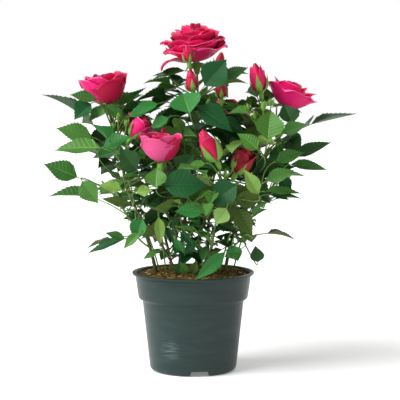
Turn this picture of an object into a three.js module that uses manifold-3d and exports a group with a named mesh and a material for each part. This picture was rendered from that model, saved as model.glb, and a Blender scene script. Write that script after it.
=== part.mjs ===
// A pot-grown miniature rose bush in its plastic nursery pot.
// Millimetres, +Z up. The origin is the centre of the pot's flat underside, and -Y is the front.
// Eight canes stand on the compost. Each shoot is one curve that forks off a cane and runs on
// as a bare bough, then a leafy stem, then the stalk of a bloom.

import * as THREE from "three";
import { mergeVertices } from "three/addons/utils/BufferGeometryUtils.js";
import Module from "manifold-3d";

const wasm = await Module();
wasm.setup();

const seat = 0.3; // clearance where one piece stands on or grows from another
const degree = Math.PI / 180;

// ---- Driving dimensions ----

const pot = {
  height: 97.5,
  segments: 36,
  rimRadius: 60,
  lipDepth: 2.8,
  bandTopRadius: 57,
  bandFootRadius: 53.8,
  bandDepth: 25.5,
  shoulderDepth: 2,
  wallTopRadius: 49.9,
  wallFootRadius: 42.2,
  footRadius: 39,
  footRounding: 5,
  wall: 1.6,
  floor: 6,
  notches: 4,
  notchTurn: 9 * degree,
  notchWidth: 15,
  notchHeight: 4,
  notchDepth: 10,
};

const compostTop = 90;

// foot: where the cane stands on the compost; top: where its first shoot goes on
const canes = {
  left: { foot: [-35, -6], top: [-52, -8, 150], radii: [2.3, 1.7] },
  green: { foot: [-13, -24], top: [-44, -29, 146], radii: [1.7, 1.35] },
  thick: { foot: [-14, 5], top: [-5, 5, 170], radii: [2.7, 1.9] },
  front: { foot: [5, -18], top: [6, -34, 150], radii: [1.8, 1.45] },
  right: { foot: [30, -6], top: [46, -8, 158], radii: [2.2, 1.6] },
  far: { foot: [14, 24], top: [16, 40, 158], radii: [2.2, 1.6] },
  farleft: { foot: [-20, 24], top: [-36, 42, 150], radii: [1.9, 1.5] },
  middle: { foot: [15, 3], top: [22, -12, 146], radii: [1.6, 1.3] },
};

// fork: share of the cane at which the shoot leaves it; tip: the base of its bloom;
// face: azimuth and elevation that the bloom looks towards; turn: azimuth of the first leaf
const shoots = {
  top: { cane: "thick", fork: 1, tip: [3, 0, 303], face: [215, 84], bloom: "open", size: 31, leaves: 8, turn: 20 },
  left: { cane: "left", fork: 1, tip: [-83, -14, 262], face: [200, 76], bloom: "cup", size: 23, leaves: 7, turn: 120 },
  lowleft: { cane: "left", fork: 0.66, tip: [-88, -24, 188], face: [190, 45], leaves: 6, turn: 215 },
  bud_left: { cane: "green", fork: 1, tip: [-58, -38, 231], face: [350, 52], bloom: "half", size: 11, leaves: 6, turn: 250 },
  front: { cane: "front", fork: 1, tip: [-29, -66, 210], face: [262, 80], bloom: "cup", size: 20, leaves: 5, turn: 215 },
  bud_front: { cane: "front", fork: 0.8, tip: [22, -70, 211], face: [190, 64], bloom: "bud", size: 8, leaves: 5, turn: 300 },
  bud_right: { cane: "right", fork: 1, tip: [65, -19, 274], face: [190, 78], bloom: "bud", size: 9.5, leaves: 7, turn: 330 },
  right: { cane: "right", fork: 0.86, tip: [90, 2, 259], face: [5, 48], bloom: "cup", size: 20, leaves: 6, turn: 0 },
  lowright: { cane: "right", fork: 0.62, tip: [86, -24, 192], face: [340, 40], leaves: 6, turn: 300 },
  farright: { cane: "far", fork: 1, tip: [38, 68, 240], face: [60, 66], bloom: "cup", size: 18, leaves: 5, turn: 30 },
  far: { cane: "far", fork: 0.8, tip: [-10, 84, 212], face: [95, 60], bloom: "half", size: 12, leaves: 4, turn: 90 },
  farleft: { cane: "farleft", fork: 1, tip: [-62, 62, 228], face: [120, 66], bloom: "half", size: 13, leaves: 5, turn: 150 },
  middle: { cane: "middle", fork: 1, tip: [30, -48, 192], face: [290, 60], leaves: 6, turn: 240 },
  lowfar: { cane: "farleft", fork: 0.7, tip: [-76, 50, 180], face: [150, 45], leaves: 5, turn: 110 },
};

// Short leafy twigs low on the canes
const twigs = {
  twig_thick: { cane: "thick", at: 0.36, towards: [235, 40], length: 32, leaves: 3, turn: 265 },
  twig_farleft: { cane: "farleft", at: 0.45, towards: [150, 30], length: 30, leaves: 3, turn: 130 },
  twig_left: { cane: "left", at: 0.5, towards: [205, 30], length: 26, leaves: 1, turn: 250 },
  twig_front: { cane: "front", at: 0.42, towards: [200, 45], length: 30, leaves: 3, turn: 220 },
  twig_right: { cane: "right", at: 0.42, towards: [330, 30], length: 26, leaves: 3, turn: 20 },
  twig_far: { cane: "far", at: 0.5, towards: [60, 30], length: 30, leaves: 3, turn: 80 },
  twig_green: { cane: "green", at: 0.4, towards: [20, 62], length: 36, leaves: 3, turn: 330 },
};

// Buds on thin stalks off the side of a shoot's leafy stem
const sideBuds = {
  bud_crown: { shoot: "top", at: 0.7, tip: [0, -34, 275], face: [190, 82], bloom: "bud", size: 6.5 },
  bud_top: { shoot: "top", at: 0.84, tip: [24, -31, 296], face: [330, 76], bloom: "bud", size: 5.5 },
  bud_side: { shoot: "top", at: 0.66, tip: [27, -28, 268], face: [250, 84], bloom: "bud", size: 6.5 },
  bud_dark: { shoot: "bud_front", at: 0.6, tip: [41, -44, 197], face: [350, 62], bloom: "half", size: 10 },
};

// Leaves that lead out to the edge of the crown or lie open to the front.
// on: the shoot or twig; at: share of it; tip: where the leaf's point comes to; roll: its turn about itself
const leadingLeaves = [
  { on: "left", at: 0.52, tip: [-148, -6, 272], roll: 0 },
  { on: "left", at: 0.42, tip: [-134, 2, 222], roll: 20 },
  { on: "left", at: 0.82, tip: [-104, -62, 264], roll: 10 },
  { on: "left", at: 0.82, tip: [-42, -24, 278], roll: -10 },
  { on: "lowleft", at: 0.93, tip: [-142, -44, 204], roll: 40 },
  { on: "lowleft", at: 0.4, tip: [-141, -18, 178], roll: -20 },
  { on: "twig_left", at: 0.7, tip: [-103, -28, 121], roll: 10 },
  { on: "right", at: 0.6, tip: [163, 8, 250], roll: 5 },
  { on: "right", at: 0.42, tip: [133, 6, 227], roll: -10 },
  { on: "right", at: 0.55, tip: [106, -56, 240], roll: 15 },
  { on: "lowright", at: 0.95, tip: [130, -34, 203], roll: -25 },
  { on: "lowright", at: 0.4, tip: [106, -10, 174], roll: 10 },
  { on: "twig_right", at: 0.6, tip: [101, 0, 131], roll: 0 },
  { on: "twig_right", at: 0.4, tip: [6, -66, 103], roll: 0 },
  { on: "twig_right", at: 0.95, tip: [82, -52, 108], roll: 20 },
  { on: "bud_right", at: 0.6, tip: [66, -54, 262], roll: 0 },
  { on: "bud_right", at: 0.74, tip: [30, -24, 276], roll: 20 },
  { on: "top", at: 0.82, tip: [-40, 2, 290], roll: 15 },
  { on: "top", at: 0.76, tip: [54, 4, 295], roll: -20 },
  { on: "top", at: 0.7, tip: [-60, -34, 266], roll: 20 },
  { on: "top", at: 0.6, tip: [-14, -68, 260], roll: 15 },
  { on: "top", at: 0.45, tip: [46, -54, 238], roll: -10 },
  { on: "front", at: 0.5, tip: [-50, -90, 172], roll: 20 },
  { on: "bud_front", at: 0.4, tip: [18, -98, 158], roll: -20 },
  { on: "twig_thick", at: 0.6, tip: [18, -58, 198], roll: -45 },
  { on: "twig_green", at: 0.63, tip: [-38, -104, 172], roll: 15 },
  { on: "twig_green", at: 0.83, tip: [-49, -62, 176], roll: 40 },
  { on: "middle", at: 0.65, tip: [96, -24, 202], roll: 55 },
  { on: "middle", at: 0.88, tip: [51, -67, 136], roll: 55 },
  { on: "top", at: 0.4, tip: [-48, -40, 209], roll: -55 },
  { on: "farleft", at: 0.44, tip: [-7, 22, 259], roll: -60 },
  { on: "farright", at: 0.37, tip: [87, 10, 232], roll: -60 },
];

const shoot = {
  boughEnd: 0.24, // share of the shoot where its leafy stem starts
  stalkStart: 0.92, // and where the bloom's own stalk starts
  forkTurn: 0.45, // how far a shoot turns off its cane towards the outside, where it forks below the top
  forkShrink: 0.8, // and how much thinner than the cane it is there
  stiffness: 0.36, // how far each end holds its direction, as a share of the shoot's length
  tipRadius: 1.15,
  sides: 5,
};

const thinStemRadius = 1.1; // of the twigs and the side buds' stalks
const twigLeafShares = [0.3, 1.1]; // span of a twig that carries its leaves
const twigVigour = 0.84; // size of a twig's leaves against a shoot's

const leaf = {
  length: [38, 50], // stalk and rachis together
  places: [0.45, 0.76, 1], // where the rachis bends and carries its pairs and its end leaflet
  stalkRadius: 1,
  phyllotaxis: 137.5, // degrees from one leaf to the next
  rise: [12, 50], // elevation at which the lowest leaf leaves its stem, degrees
  riseGain: 28, // and how much steeper the highest one does
  droop: [15, 60], // how far it bends down by its end, degrees
  droopLoss: 0.5, // share of that which the highest one is spared
  roll: [-32, 32], // turn about its own rachis, degrees
  pairedAbove: 0.92, // leaves less vigorous than this have one pair of leaflets, not two
  tries: [0, 24, -24, 48, -48, 72, -72, 110, -110], // degrees that a leaf may turn aside to find room
  leadingRise: 21, // how much steeper than the straight line to its point a leading leaf sets out, degrees
  leadingDroop: 22,
  leadingTries: [0, 20, -20, 40, -40].flatMap((turn) => [[turn, 2], [turn, 1]]), // [degrees, pairs]
};

const leaflet = {
  length: [35, 46], // the one at the leaf's end
  pairShrink: [0.74, 0.9], // the pairs, from the stalk outwards
  pairAngle: [80, 68], // degrees from the rachis
  dips: [-18, -9, -2], // how far each pair and the end leaflet hang below the rachis, degrees
  halfWidth: 0.3, // share of the length
  fold: 0.26, // rise of the blade's sides from the midrib
  arch: [0.06, 0.2], // sag of the point, share of the length
  thickness: 0.9,
  rootStart: 0.35, // how far in front of the rachis's own line a pair's roots start
  endSunk: 0.6, // how far the end leaflet's root runs back into the rachis
};

const room = {
  clearance: 1.6, // least distance between a blade and what isn't its own leaf
  spotPitch: 4.5, // distance between the spots that stand for a blade in that test
  limbPitch: 3, // and between those that stand for a limb
  bladeSpot: 0.6, // radius of a blade's spots
  node: 13, // around the place where a leaf leaves its stem, the stem itself is no obstacle
  overRim: 3, // leaves that cross the pot's rim keep this far above it
  pastRim: 4, // and those that hang below it keep this far out
  lowest: 20, // how far below the compost's level a leaf may hang outside the pot
};

// ---- Small tools ----

function makeDraw(seed) {
  let state = (seed * 2654435761) % 4294967296;
  return (low, high) => {
    state = (Math.imul(state, 1664525) + 1013904223) >>> 0;
    return low + ((high - low) * state) / 4294967296;
  };
}

const mix = (a, b, share) => a + (b - a) * share;

const shareOf = (curve, distance) => distance / curve.getLength();

function direction(azimuth, elevation) {
  const across = Math.cos(elevation * degree);
  return new THREE.Vector3(
    across * Math.cos(azimuth * degree),
    across * Math.sin(azimuth * degree),
    Math.sin(elevation * degree),
  );
}

function along(from, heading, distance) {
  return from.clone().addScaledVector(heading, distance);
}

// A closed three.js geometry as a solid, with its faces pointing out.
function solidFrom(geometry) {
  const bare = geometry.clone();
  bare.deleteAttribute("normal");
  bare.deleteAttribute("uv");
  const merged = mergeVertices(bare, 1e-4);
  const triVerts = new Uint32Array(merged.index.array);
  const vertProperties = new Float32Array(merged.attributes.position.array);
  const made = new wasm.Manifold(new wasm.Mesh({ numProp: 3, vertProperties, triVerts }));
  if (made.volume() > 0) return made;
  for (let i = 0; i < triVerts.length; i += 3) {
    [triVerts[i + 1], triVerts[i + 2]] = [triVerts[i + 2], triVerts[i + 1]];
  }
  return new wasm.Manifold(new wasm.Mesh({ numProp: 3, vertProperties, triVerts }));
}

function geometryFrom(solid) {
  const { vertProperties, triVerts } = solid.getMesh();
  const geometry = new THREE.BufferGeometry();
  geometry.setAttribute("position", new THREE.BufferAttribute(new Float32Array(vertProperties), 3));
  geometry.setIndex(new THREE.BufferAttribute(new Uint32Array(triVerts), 1));
  geometry.computeVertexNormals();
  return geometry;
}

const joined = (solids) => solids.reduce((all, solid) => all.add(solid));

// The largest body of a solid, without the loose scraps that a cut can leave.
function largestBody(solid) {
  return solid.decompose().reduce((most, body) => (body.volume() > most.volume() ? body : most));
}

// Moves every vertex of a geometry to place(x, y, z).
function reshaped(geometry, place) {
  const position = geometry.attributes.position;
  for (let i = 0; i < position.count; i++) {
    const moved = place(position.getX(i), position.getY(i), position.getZ(i));
    position.setXYZ(i, moved.x, moved.y, moved.z);
  }
  return geometry;
}

// Two directions square to a heading.
function squareTo(heading) {
  const aside = new THREE.Vector3(1, 0, 0).cross(heading).normalize();
  return [aside, heading.clone().cross(aside)];
}

const evenly = (from, to, steps) => Array.from({ length: steps + 1 }, (_, i) => mix(from, to, i / steps));

// A tapering limb: a closed cylinder whose rings stand at the given shares of a curve.
// Where a foot level is given, the first ring lies flat at that height.
function limb(curve, shares, radiusAt, sides, footLevel) {
  const steps = shares.length - 1;
  const cylinder = new THREE.CylinderGeometry(1, 1, 1, sides, steps);
  return solidFrom(
    reshaped(cylinder, (x, y, z) => {
      const share = shares[Math.round((y + 0.5) * steps)];
      const tangent = curve.getTangent(share);
      const [aside, ahead] = squareTo(tangent);
      const radius = radiusAt(share);
      const point = along(along(curve.getPoint(share), aside, x * radius), ahead, z * radius);
      if (share > 0 || footLevel === undefined) return point;
      return along(point, tangent, (footLevel - point.z) / tangent.z);
    }),
  );
}

// ---- Pot and compost ----

// Radius of the pot's outer face at a height, below its lip.
function potRadius(z) {
  const bandFoot = pot.height - pot.bandDepth;
  if (z >= bandFoot) {
    return mix(pot.bandFootRadius, pot.bandTopRadius, (z - bandFoot) / pot.bandDepth);
  }
  const wallTop = bandFoot - pot.shoulderDepth;
  return mix(pot.wallFootRadius, pot.wallTopRadius, z / wallTop);
}

function turned(profile) {
  const points = profile.map(([radius, z]) => new THREE.Vector2(radius, z));
  return solidFrom(new THREE.LatheGeometry(points, pot.segments).rotateX(Math.PI / 2));
}

// The inner face of the pot from the floor up, set in by a margin.
function innerProfile(margin, low, high) {
  const bandFoot = pot.height - pot.bandDepth;
  const inset = pot.wall + margin;
  const shoulder = bandFoot - pot.shoulderDepth + pot.wall;
  return [
    [potRadius(low) - inset, low],
    [potRadius(shoulder - 2) - inset, shoulder + margin],
    [potRadius(bandFoot) - inset, bandFoot + pot.wall + margin],
    [potRadius(high) - inset, high],
  ];
}

function potSolid() {
  const bandFoot = pot.height - pot.bandDepth;
  const lipFoot = pot.height - pot.lipDepth;
  const outer = [
    [0, 0],
    [pot.footRadius, 0],
    [potRadius(pot.footRounding), pot.footRounding],
    [potRadius(bandFoot - pot.shoulderDepth - 0.01), bandFoot - pot.shoulderDepth],
    [potRadius(bandFoot), bandFoot],
    [potRadius(lipFoot), lipFoot],
    [pot.rimRadius - 0.6, lipFoot],
    [pot.rimRadius, lipFoot + 1.2],
    [pot.rimRadius - 1, pot.height],
    [pot.rimRadius - 3.6, pot.height],
  ];
  const inner = innerProfile(0, pot.floor, lipFoot).reverse();
  let made = turned([...outer, ...inner, [0, pot.floor]]);
  for (let i = 0; i < pot.notches; i++) {
    const bearing = -Math.PI / 2 + pot.notchTurn + (i * 2 * Math.PI) / pot.notches;
    made = made.subtract(notchCutter(bearing));
  }
  return made;
}

// A drainage notch through the foot of the wall, wider at the bottom.
function notchCutter(bearing) {
  const half = pot.notchWidth / 2;
  const outline = new THREE.Shape([
    new THREE.Vector2(-half - 1.5, -1),
    new THREE.Vector2(half + 1.5, -1),
    new THREE.Vector2(half - 1.5, pot.notchHeight),
    new THREE.Vector2(-half + 1.5, pot.notchHeight),
  ]);
  const length = pot.notchDepth + 10;
  const block = new THREE.ExtrudeGeometry(outline, { depth: length, bevelEnabled: false });
  block.rotateX(Math.PI / 2).rotateZ(Math.PI / 2);
  block.translate(pot.footRadius - pot.notchDepth, 0, 0).rotateZ(bearing);
  return solidFrom(block);
}

function compostSolid() {
  const low = pot.floor + seat;
  return turned([[0, low], ...innerProfile(seat, low, compostTop), [0, compostTop]]);
}

// ---- Curves of the canes and shoots ----

function caneCurve({ foot, top }) {
  const start = new THREE.Vector3(foot[0], foot[1], compostTop);
  const end = new THREE.Vector3(...top);
  const bow = new THREE.Vector3(mix(foot[0], top[0], 0.35), mix(foot[1], top[1], 0.35), mix(compostTop, top[2], 0.55));
  return new THREE.QuadraticBezierCurve3(start, bow, end);
}

// One smooth curve from a start to a tip, which leaves along one heading and arrives along another.
function shootCurve(start, heading, tip, arriving) {
  const reach = start.distanceTo(tip) * shoot.stiffness;
  return new THREE.CubicBezierCurve3(start, along(start, heading, reach), along(tip, arriving, -reach), tip);
}

function radiusAlongCane({ radii }) {
  // The foot flares where the cane meets the compost.
  return (share) => mix(radii[0], radii[1], share) * (1 + 0.5 * Math.exp(-Math.abs(share) * 14));
}

function radiusAlongShoot(base) {
  return (share) => mix(base, shoot.tipRadius, share);
}

const caneCurves = {};
for (const [name, cane] of Object.entries(canes)) caneCurves[name] = caneCurve(cane);

const stemCurves = {};
const shootRadii = {};
for (const [name, { cane, fork, tip, face }] of Object.entries(shoots)) {
  const start = caneCurves[cane].getPoint(fork);
  const end = new THREE.Vector3(...tip);
  // A shoot goes on from its cane's top, or turns off below it.
  const outward = end.clone().sub(start).setZ(0).normalize();
  const heading = caneCurves[cane].getTangent(fork).lerp(outward, fork === 1 ? 0 : shoot.forkTurn).normalize();
  stemCurves[name] = shootCurve(start, heading, end, direction(...face));
  shootRadii[name] = radiusAlongShoot(radiusAlongCane(canes[cane])(fork) * (fork === 1 ? 1 : shoot.forkShrink));
}

for (const [name, { cane, at, towards, length }] of Object.entries(twigs)) {
  const [azimuth, elevation] = towards;
  const start = caneCurves[cane].getPoint(at);
  const tip = along(start, direction(azimuth, elevation + 15), length);
  stemCurves[name] = shootCurve(start, direction(azimuth, elevation), tip, direction(azimuth, elevation + 30));
}

const sideCurves = {};
for (const [name, { shoot: parent, at, tip, face }] of Object.entries(sideBuds)) {
  const start = stemCurves[parent].getPoint(at);
  const end = new THREE.Vector3(...tip);
  const heading = end.clone().sub(start).normalize().lerp(stemCurves[parent].getTangent(at), 0.3).normalize();
  sideCurves[name] = shootCurve(start, heading, end, direction(...face));
}

const thinRadius = radiusAlongShoot(thinStemRadius);

// ---- Blooms ----
// A bloom is a heart inside bowls of petals. reach, rise and belly are shares of the bloom's size;
// notch is how far the rim dips between two petals.

const petalBowls = {
  open: [
    { petals: 5, reach: 1, rise: 0.56, belly: 1.05, notch: 0.24 },
    { petals: 5, reach: 0.8, rise: 0.95, belly: 0.8, notch: 0.16 },
    { petals: 4, reach: 0.5, rise: 1.14, belly: 0.5, notch: 0.12 },
  ],
  cup: [
    { petals: 4, reach: 1, rise: 1.36, belly: 0.9, notch: 0.2 },
    { petals: 3, reach: 0.64, rise: 1.46, belly: 0.6, notch: 0.14 },
  ],
  half: [{ petals: 3, reach: 0.95, rise: 1.7, belly: 1.1, notch: 0.25 }],
  bud: [],
};

const bloomHearts = {
  open: { radius: 0.26, height: 1.18 },
  cup: { radius: 0.38, height: 1.48 },
  half: { radius: 0.62, height: 1.9 },
  bud: { radius: 1, height: 2.8 },
};

// Sepals, on the blooms where they show below or beside the petals; lift is their elevation in degrees
const bloomSepals = { open: { count: 5, lift: -14 }, bud: { count: 3, lift: 44 } };

// Balls that stand for a bloom in the test for room: height above its base, and radius
const bloomRoom = {
  open: [[0.25, 0.5], [0.62, 0.95]],
  cup: [[0.3, 0.5], [0.9, 0.9]],
  half: [[0.45, 0.7], [1.2, 0.8]],
  bud: [[0.6, 0.8], [1.5, 0.8]],
};

// One ring of petals as a closed bowl with a wavy rim.
function petalBowl({ petals, reach, rise, belly, notch }, size, turn) {
  const side = new THREE.CubicBezierCurve(
    new THREE.Vector2(0.1, 0),
    new THREE.Vector2(belly * 0.9, -0.06),
    new THREE.Vector2(belly * 0.95, rise * 0.55),
    new THREE.Vector2(reach, rise),
  );
  const outer = [0.3, 0.65, 1].map((up) => side.getPoint(up));
  const inner = [1, 0.5].map((up) => side.getPoint(up).add(new THREE.Vector2(-1.4 / size, 0)));
  const profile = [new THREE.Vector2(0, -0.05), ...outer, ...inner, new THREE.Vector2(0, rise * 0.22)];
  const bowl = new THREE.LatheGeometry(profile, 2 * petals).rotateX(Math.PI / 2);
  return solidFrom(
    reshaped(bowl, (x, y, z) => {
      const between = (1 - Math.cos(petals * Math.atan2(x, y))) / 2;
      const height = Math.max(0, z / rise);
      const drawnIn = 1 - 0.14 * between * height;
      return new THREE.Vector3(x * drawnIn, y * drawnIn, z - notch * between * height ** 2).multiplyScalar(size);
    }),
  ).rotate([0, 0, turn]);
}

// The closed bud or heart: a lathe round the bloom's own axis.
function heart(kind, size) {
  const { radius, height } = bloomHearts[kind];
  const profile = [
    [0, -0.05],
    [0.6, 0.03],
    [1, 0.36],
    [0.78, 0.74],
    [0, 1],
  ].map(([across, up]) => new THREE.Vector2(across * radius * size, up * height * size));
  return solidFrom(new THREE.LatheGeometry(profile, 6).rotateX(Math.PI / 2));
}

function receptacle(size) {
  const radius = 2.2 + size * 0.05;
  return solidFrom(new THREE.SphereGeometry(radius, 5, 3).rotateX(Math.PI / 2).translate(0, 0, -radius * 0.6));
}

// Sepals: thin pointed blades that stand off the receptacle.
function sepals(size, { count, lift }) {
  const root = new THREE.Vector3(0, 0, -1.2);
  return Array.from({ length: count }, (_, i) => {
    const azimuth = (i * 360) / count + 20;
    const forward = direction(azimuth, lift);
    const aside = new THREE.Vector3(Math.sin(azimuth * degree), -Math.cos(azimuth * degree), 0);
    const above = aside.clone().cross(forward);
    const length = 12 + size * 0.25;
    return blade({ root, forward, aside, above, length, half: 2, fold: 0, arch: 0, corners: 4 });
  });
}

function bloomHead(kind, size) {
  const bowls = petalBowls[kind].map((bowl, level) => petalBowl(bowl, size, level * 40));
  const parts = [heart(kind, size), receptacle(size), ...bowls];
  if (bloomSepals[kind]) parts.push(...sepals(size, bloomSepals[kind]));
  return parts;
}

// ---- Leaves ----
// A blade's frame: forward along its midrib, aside across it, above out of its upper face.

// Half the blade's width at a share of its length, as a share of its widest: pointed at the end.
function outlineWidth(share) {
  return Math.sqrt(Math.max(0, 1 - (2 * share - 1) ** 2)) * (1.25 - 0.55 * share);
}

function onBlade(frame, share, across) {
  const rise = frame.fold * Math.abs(across) - frame.arch * frame.length * share * share;
  const point = along(frame.root, frame.forward, share * frame.length);
  return along(along(point, frame.aside, across), frame.above, rise);
}

// A blade as a closed solid: a ball, flattened and drawn out to the leaflet's outline.
function blade(frame) {
  const ball = new THREE.SphereGeometry(1, frame.corners, 2);
  return solidFrom(
    reshaped(ball, (x, y, z) => {
      if (Math.abs(y) > 0.5) {
        return along(onBlade(frame, 0.42, 0), frame.above, (Math.sign(y) * leaflet.thickness) / 2);
      }
      const share = (1 + x) / 2;
      const side = Math.abs(z) < 0.1 ? 0 : Math.sign(z);
      return onBlade(frame, share, side * frame.half * outlineWidth(share));
    }),
  );
}

// One compound leaf: a bent rachis with a leaflet at its end and one or two pairs behind it.
function makeLeaf(origin, { azimuth, rise, droop, length, endLength, roll, pairs }, random) {
  const bend = along(origin, direction(azimuth, rise), length / 2);
  const end = along(bend, direction(azimuth, rise - droop), length / 2);
  const rachis = new THREE.QuadraticBezierCurve3(origin, bend, end);
  const blades = [];
  for (let level = 2 - pairs; level < 3; level++) {
    const atEnd = level === 2;
    for (const side of atEnd ? [0] : [1, -1]) {
      const size = atEnd ? endLength : endLength * leaflet.pairShrink[level];
      const turn = atEnd ? 0 : side * leaflet.pairAngle[level];
      blades.push(makeBlade(rachis, level, azimuth, turn, size, roll, random));
    }
  }
  return { origin, rachis, blades };
}

// A leaflet's frame: forward along its midrib, aside across it, above out of its upper face.
function makeBlade(rachis, level, azimuth, turn, length, roll, random) {
  const tangent = rachis.getTangent(leaf.places[level]);
  const flat = new THREE.Vector3(Math.sin(azimuth * degree), -Math.cos(azimuth * degree), 0);
  const above = flat.clone().cross(tangent).applyAxisAngle(tangent, roll * degree);
  const forward = tangent.clone().applyAxisAngle(above, (turn + random(-6, 6)) * degree);
  const aside = forward.clone().cross(above);
  forward.applyAxisAngle(aside, (leaflet.dips[level] + random(-4, 4)) * degree);
  const ahead = turn === 0 ? -leaflet.endSunk : leaflet.rootStart;
  return {
    root: along(rachis.getPoint(leaf.places[level]), forward, ahead),
    forward,
    aside,
    above: aside.clone().cross(forward),
    length: length - ahead,
    half: leaflet.halfWidth * length * (turn === 0 ? 1 : 1.15),
    fold: leaflet.fold,
    arch: random(...leaflet.arch),
    corners: turn === 0 ? 6 : 4,
  };
}

function seededLeaf(origin, azimuth, height, vigour, random) {
  const length = random(...leaf.length) * vigour;
  const endLength = random(...leaflet.length) * vigour;
  const rise = random(...leaf.rise) + leaf.riseGain * height;
  const droop = random(...leaf.droop) * (1 - leaf.droopLoss * height);
  const roll = random(...leaf.roll);
  const pairs = vigour > leaf.pairedAbove ? 2 : 1;
  return makeLeaf(origin, { azimuth, rise, droop, length, endLength, roll, pairs }, random);
}

// A leaf whose point comes to a given place.
function leafTowards(origin, tip, roll, pairs, random) {
  const reach = new THREE.Vector3(...tip).sub(origin);
  const azimuth = Math.atan2(reach.y, reach.x) / degree;
  const elevation = Math.asin(reach.z / reach.length()) / degree;
  const endLength = Math.min(leaflet.length[1], reach.length() * 0.5);
  const length = reach.length() - endLength;
  const rise = elevation + leaf.leadingRise;
  return makeLeaf(origin, { azimuth, rise, droop: leaf.leadingDroop, length, endLength, roll, pairs }, random);
}

// ---- Room for the leaves ----
// Limbs, blooms and leaves that stand already are kept as spots with a radius, and leaves also as blades.

const spots = [];
const standingBlades = [];

function markCurve(curve, from, to, radiusAt) {
  const length = curve.getPoint(from).distanceTo(curve.getPoint(to));
  const count = Math.ceil(length / room.limbPitch);
  for (let i = 0; i <= count; i++) {
    const share = mix(from, to, i / count);
    spots.push({ at: curve.getPoint(share), radius: radiusAt(share) });
  }
}

function bladeSpots(frame) {
  const made = [];
  const rows = Math.ceil(frame.length / room.spotPitch);
  for (let i = 0; i <= rows; i++) {
    const share = i / rows;
    const half = frame.half * outlineWidth(share);
    const columns = Math.max(1, Math.ceil((2 * half) / room.spotPitch));
    for (let j = 0; j <= columns; j++) made.push(onBlade(frame, share, mix(-half, half, j / columns)));
  }
  return made;
}

function touches(frame, at, radius) {
  const offset = at.clone().sub(frame.root);
  const ahead = offset.dot(frame.forward);
  if (ahead < -radius - 1 || ahead > frame.length + radius) return false;
  const share = Math.min(1, Math.max(0, ahead / frame.length));
  const across = offset.dot(frame.aside);
  if (Math.abs(across) > frame.half * outlineWidth(share) + radius) return false;
  const rise = frame.fold * Math.abs(across) - frame.arch * frame.length * share * share;
  return Math.abs(offset.dot(frame.above) - rise) < radius + room.clearance;
}

function clearOfPot(point) {
  const outside = Math.hypot(point.x, point.y) > pot.rimRadius + room.pastRim;
  return point.z > pot.height + room.overRim || (outside && point.z > compostTop - room.lowest);
}

function hasRoom({ origin, rachis, blades }) {
  const own = [];
  for (let i = 1; i <= 8; i++) own.push(rachis.getPoint(i / 8));
  const points = [...own, ...blades.flatMap(bladeSpots)];
  if (!points.every(clearOfPot)) return false;
  for (const { at, radius } of spots) {
    if (at.distanceTo(origin) <= room.node) continue;
    if (own.some((point) => point.distanceTo(at) < radius + leaf.stalkRadius + 1)) return false;
    if (blades.some((frame) => touches(frame, at, radius))) return false;
  }
  return !standingBlades.some((frame) => points.some((point) => touches(frame, point, room.bladeSpot)));
}

function settle(made) {
  for (let i = 1; i <= 12; i++) spots.push({ at: made.rachis.getPoint(i / 12), radius: leaf.stalkRadius });
  for (const frame of made.blades) {
    standingBlades.push(frame);
    for (const at of bladeSpots(frame)) spots.push({ at, radius: room.bladeSpot });
  }
}

// Grows the leaves of one stem. A leaf that finds no room, however it turns, is skipped.
function growLeaves(curve, from, to, { leaves, turn }, seed, vigour) {
  const grown = [];
  for (let i = 0; i < leaves; i++) {
    const origin = curve.getPoint(mix(from, to, (i + 0.6) / leaves));
    for (const aside of leaf.tries) {
      const random = makeDraw(seed * 100 + i + 1);
      const azimuth = turn + i * leaf.phyllotaxis + random(-12, 12) + aside;
      const made = seededLeaf(origin, azimuth, i / leaves, vigour * mix(1.06, 0.84, i / leaves), random);
      if (hasRoom(made)) {
        settle(made);
        grown.push(made);
        break;
      }
    }
  }
  return grown;
}

// A leading leaf keeps its point. It turns about itself, or goes without its inner pair, to find room.
function growLeadingLeaves() {
  const grown = {};
  leadingLeaves.forEach(({ on, at, tip, roll }, i) => {
    for (const [turn, pairs] of leaf.leadingTries) {
      const made = leafTowards(stemCurves[on].getPoint(at), tip, roll + turn, pairs, makeDraw(9000 + i));
      if (hasRoom(made)) {
        settle(made);
        (grown[on] ??= []).push(made);
        break;
      }
    }
  });
  return grown;
}

function leafSolids({ rachis, blades }) {
  const radiusAt = (share) => leaf.stalkRadius * mix(1.1, 0.9, share);
  return [limb(rachis, [0, ...leaf.places], radiusAt, 3), ...blades.map(blade)];
}

// ---- Assembly ----

const materials = {
  pot: new THREE.MeshStandardMaterial({ color: "#4f6061", roughness: 0.42, metalness: 0 }),
  compost: new THREE.MeshStandardMaterial({ color: "#3f3020", roughness: 1, metalness: 0 }),
  bark: new THREE.MeshStandardMaterial({ color: "#66692f", roughness: 0.75, metalness: 0 }),
  foliage: new THREE.MeshStandardMaterial({ color: "#3f7434", roughness: 0.5, metalness: 0 }),
  petals: new THREE.MeshStandardMaterial({ color: "#d92260", roughness: 0.6, metalness: 0 }),
};

const bush = new THREE.Group();
const joinTolerance = 0.01; // slivers thinner than this, left where pieces are fused, are taken out

function addPiece(name, solid, material) {
  const mesh = new THREE.Mesh(geometryFrom(largestBody(solid).simplify(joinTolerance)), materials[material]);
  mesh.name = name;
  bush.add(mesh);
}

// A cane, which ends in a flat cut at the compost's surface.
function caneSolid(name, margin) {
  const radiusAt = radiusAlongCane(canes[name]);
  return limb(caneCurves[name], evenly(0, 1, 6), (share) => radiusAt(share) + margin, 6, compostTop + seat);
}

function addCanes() {
  for (const [name, cane] of Object.entries(canes)) {
    addPiece(`cane_${name}`, caneSolid(name, 0), "bark");
    markCurve(caneCurves[name], 0, 1, radiusAlongCane(cane));
  }
}

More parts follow.
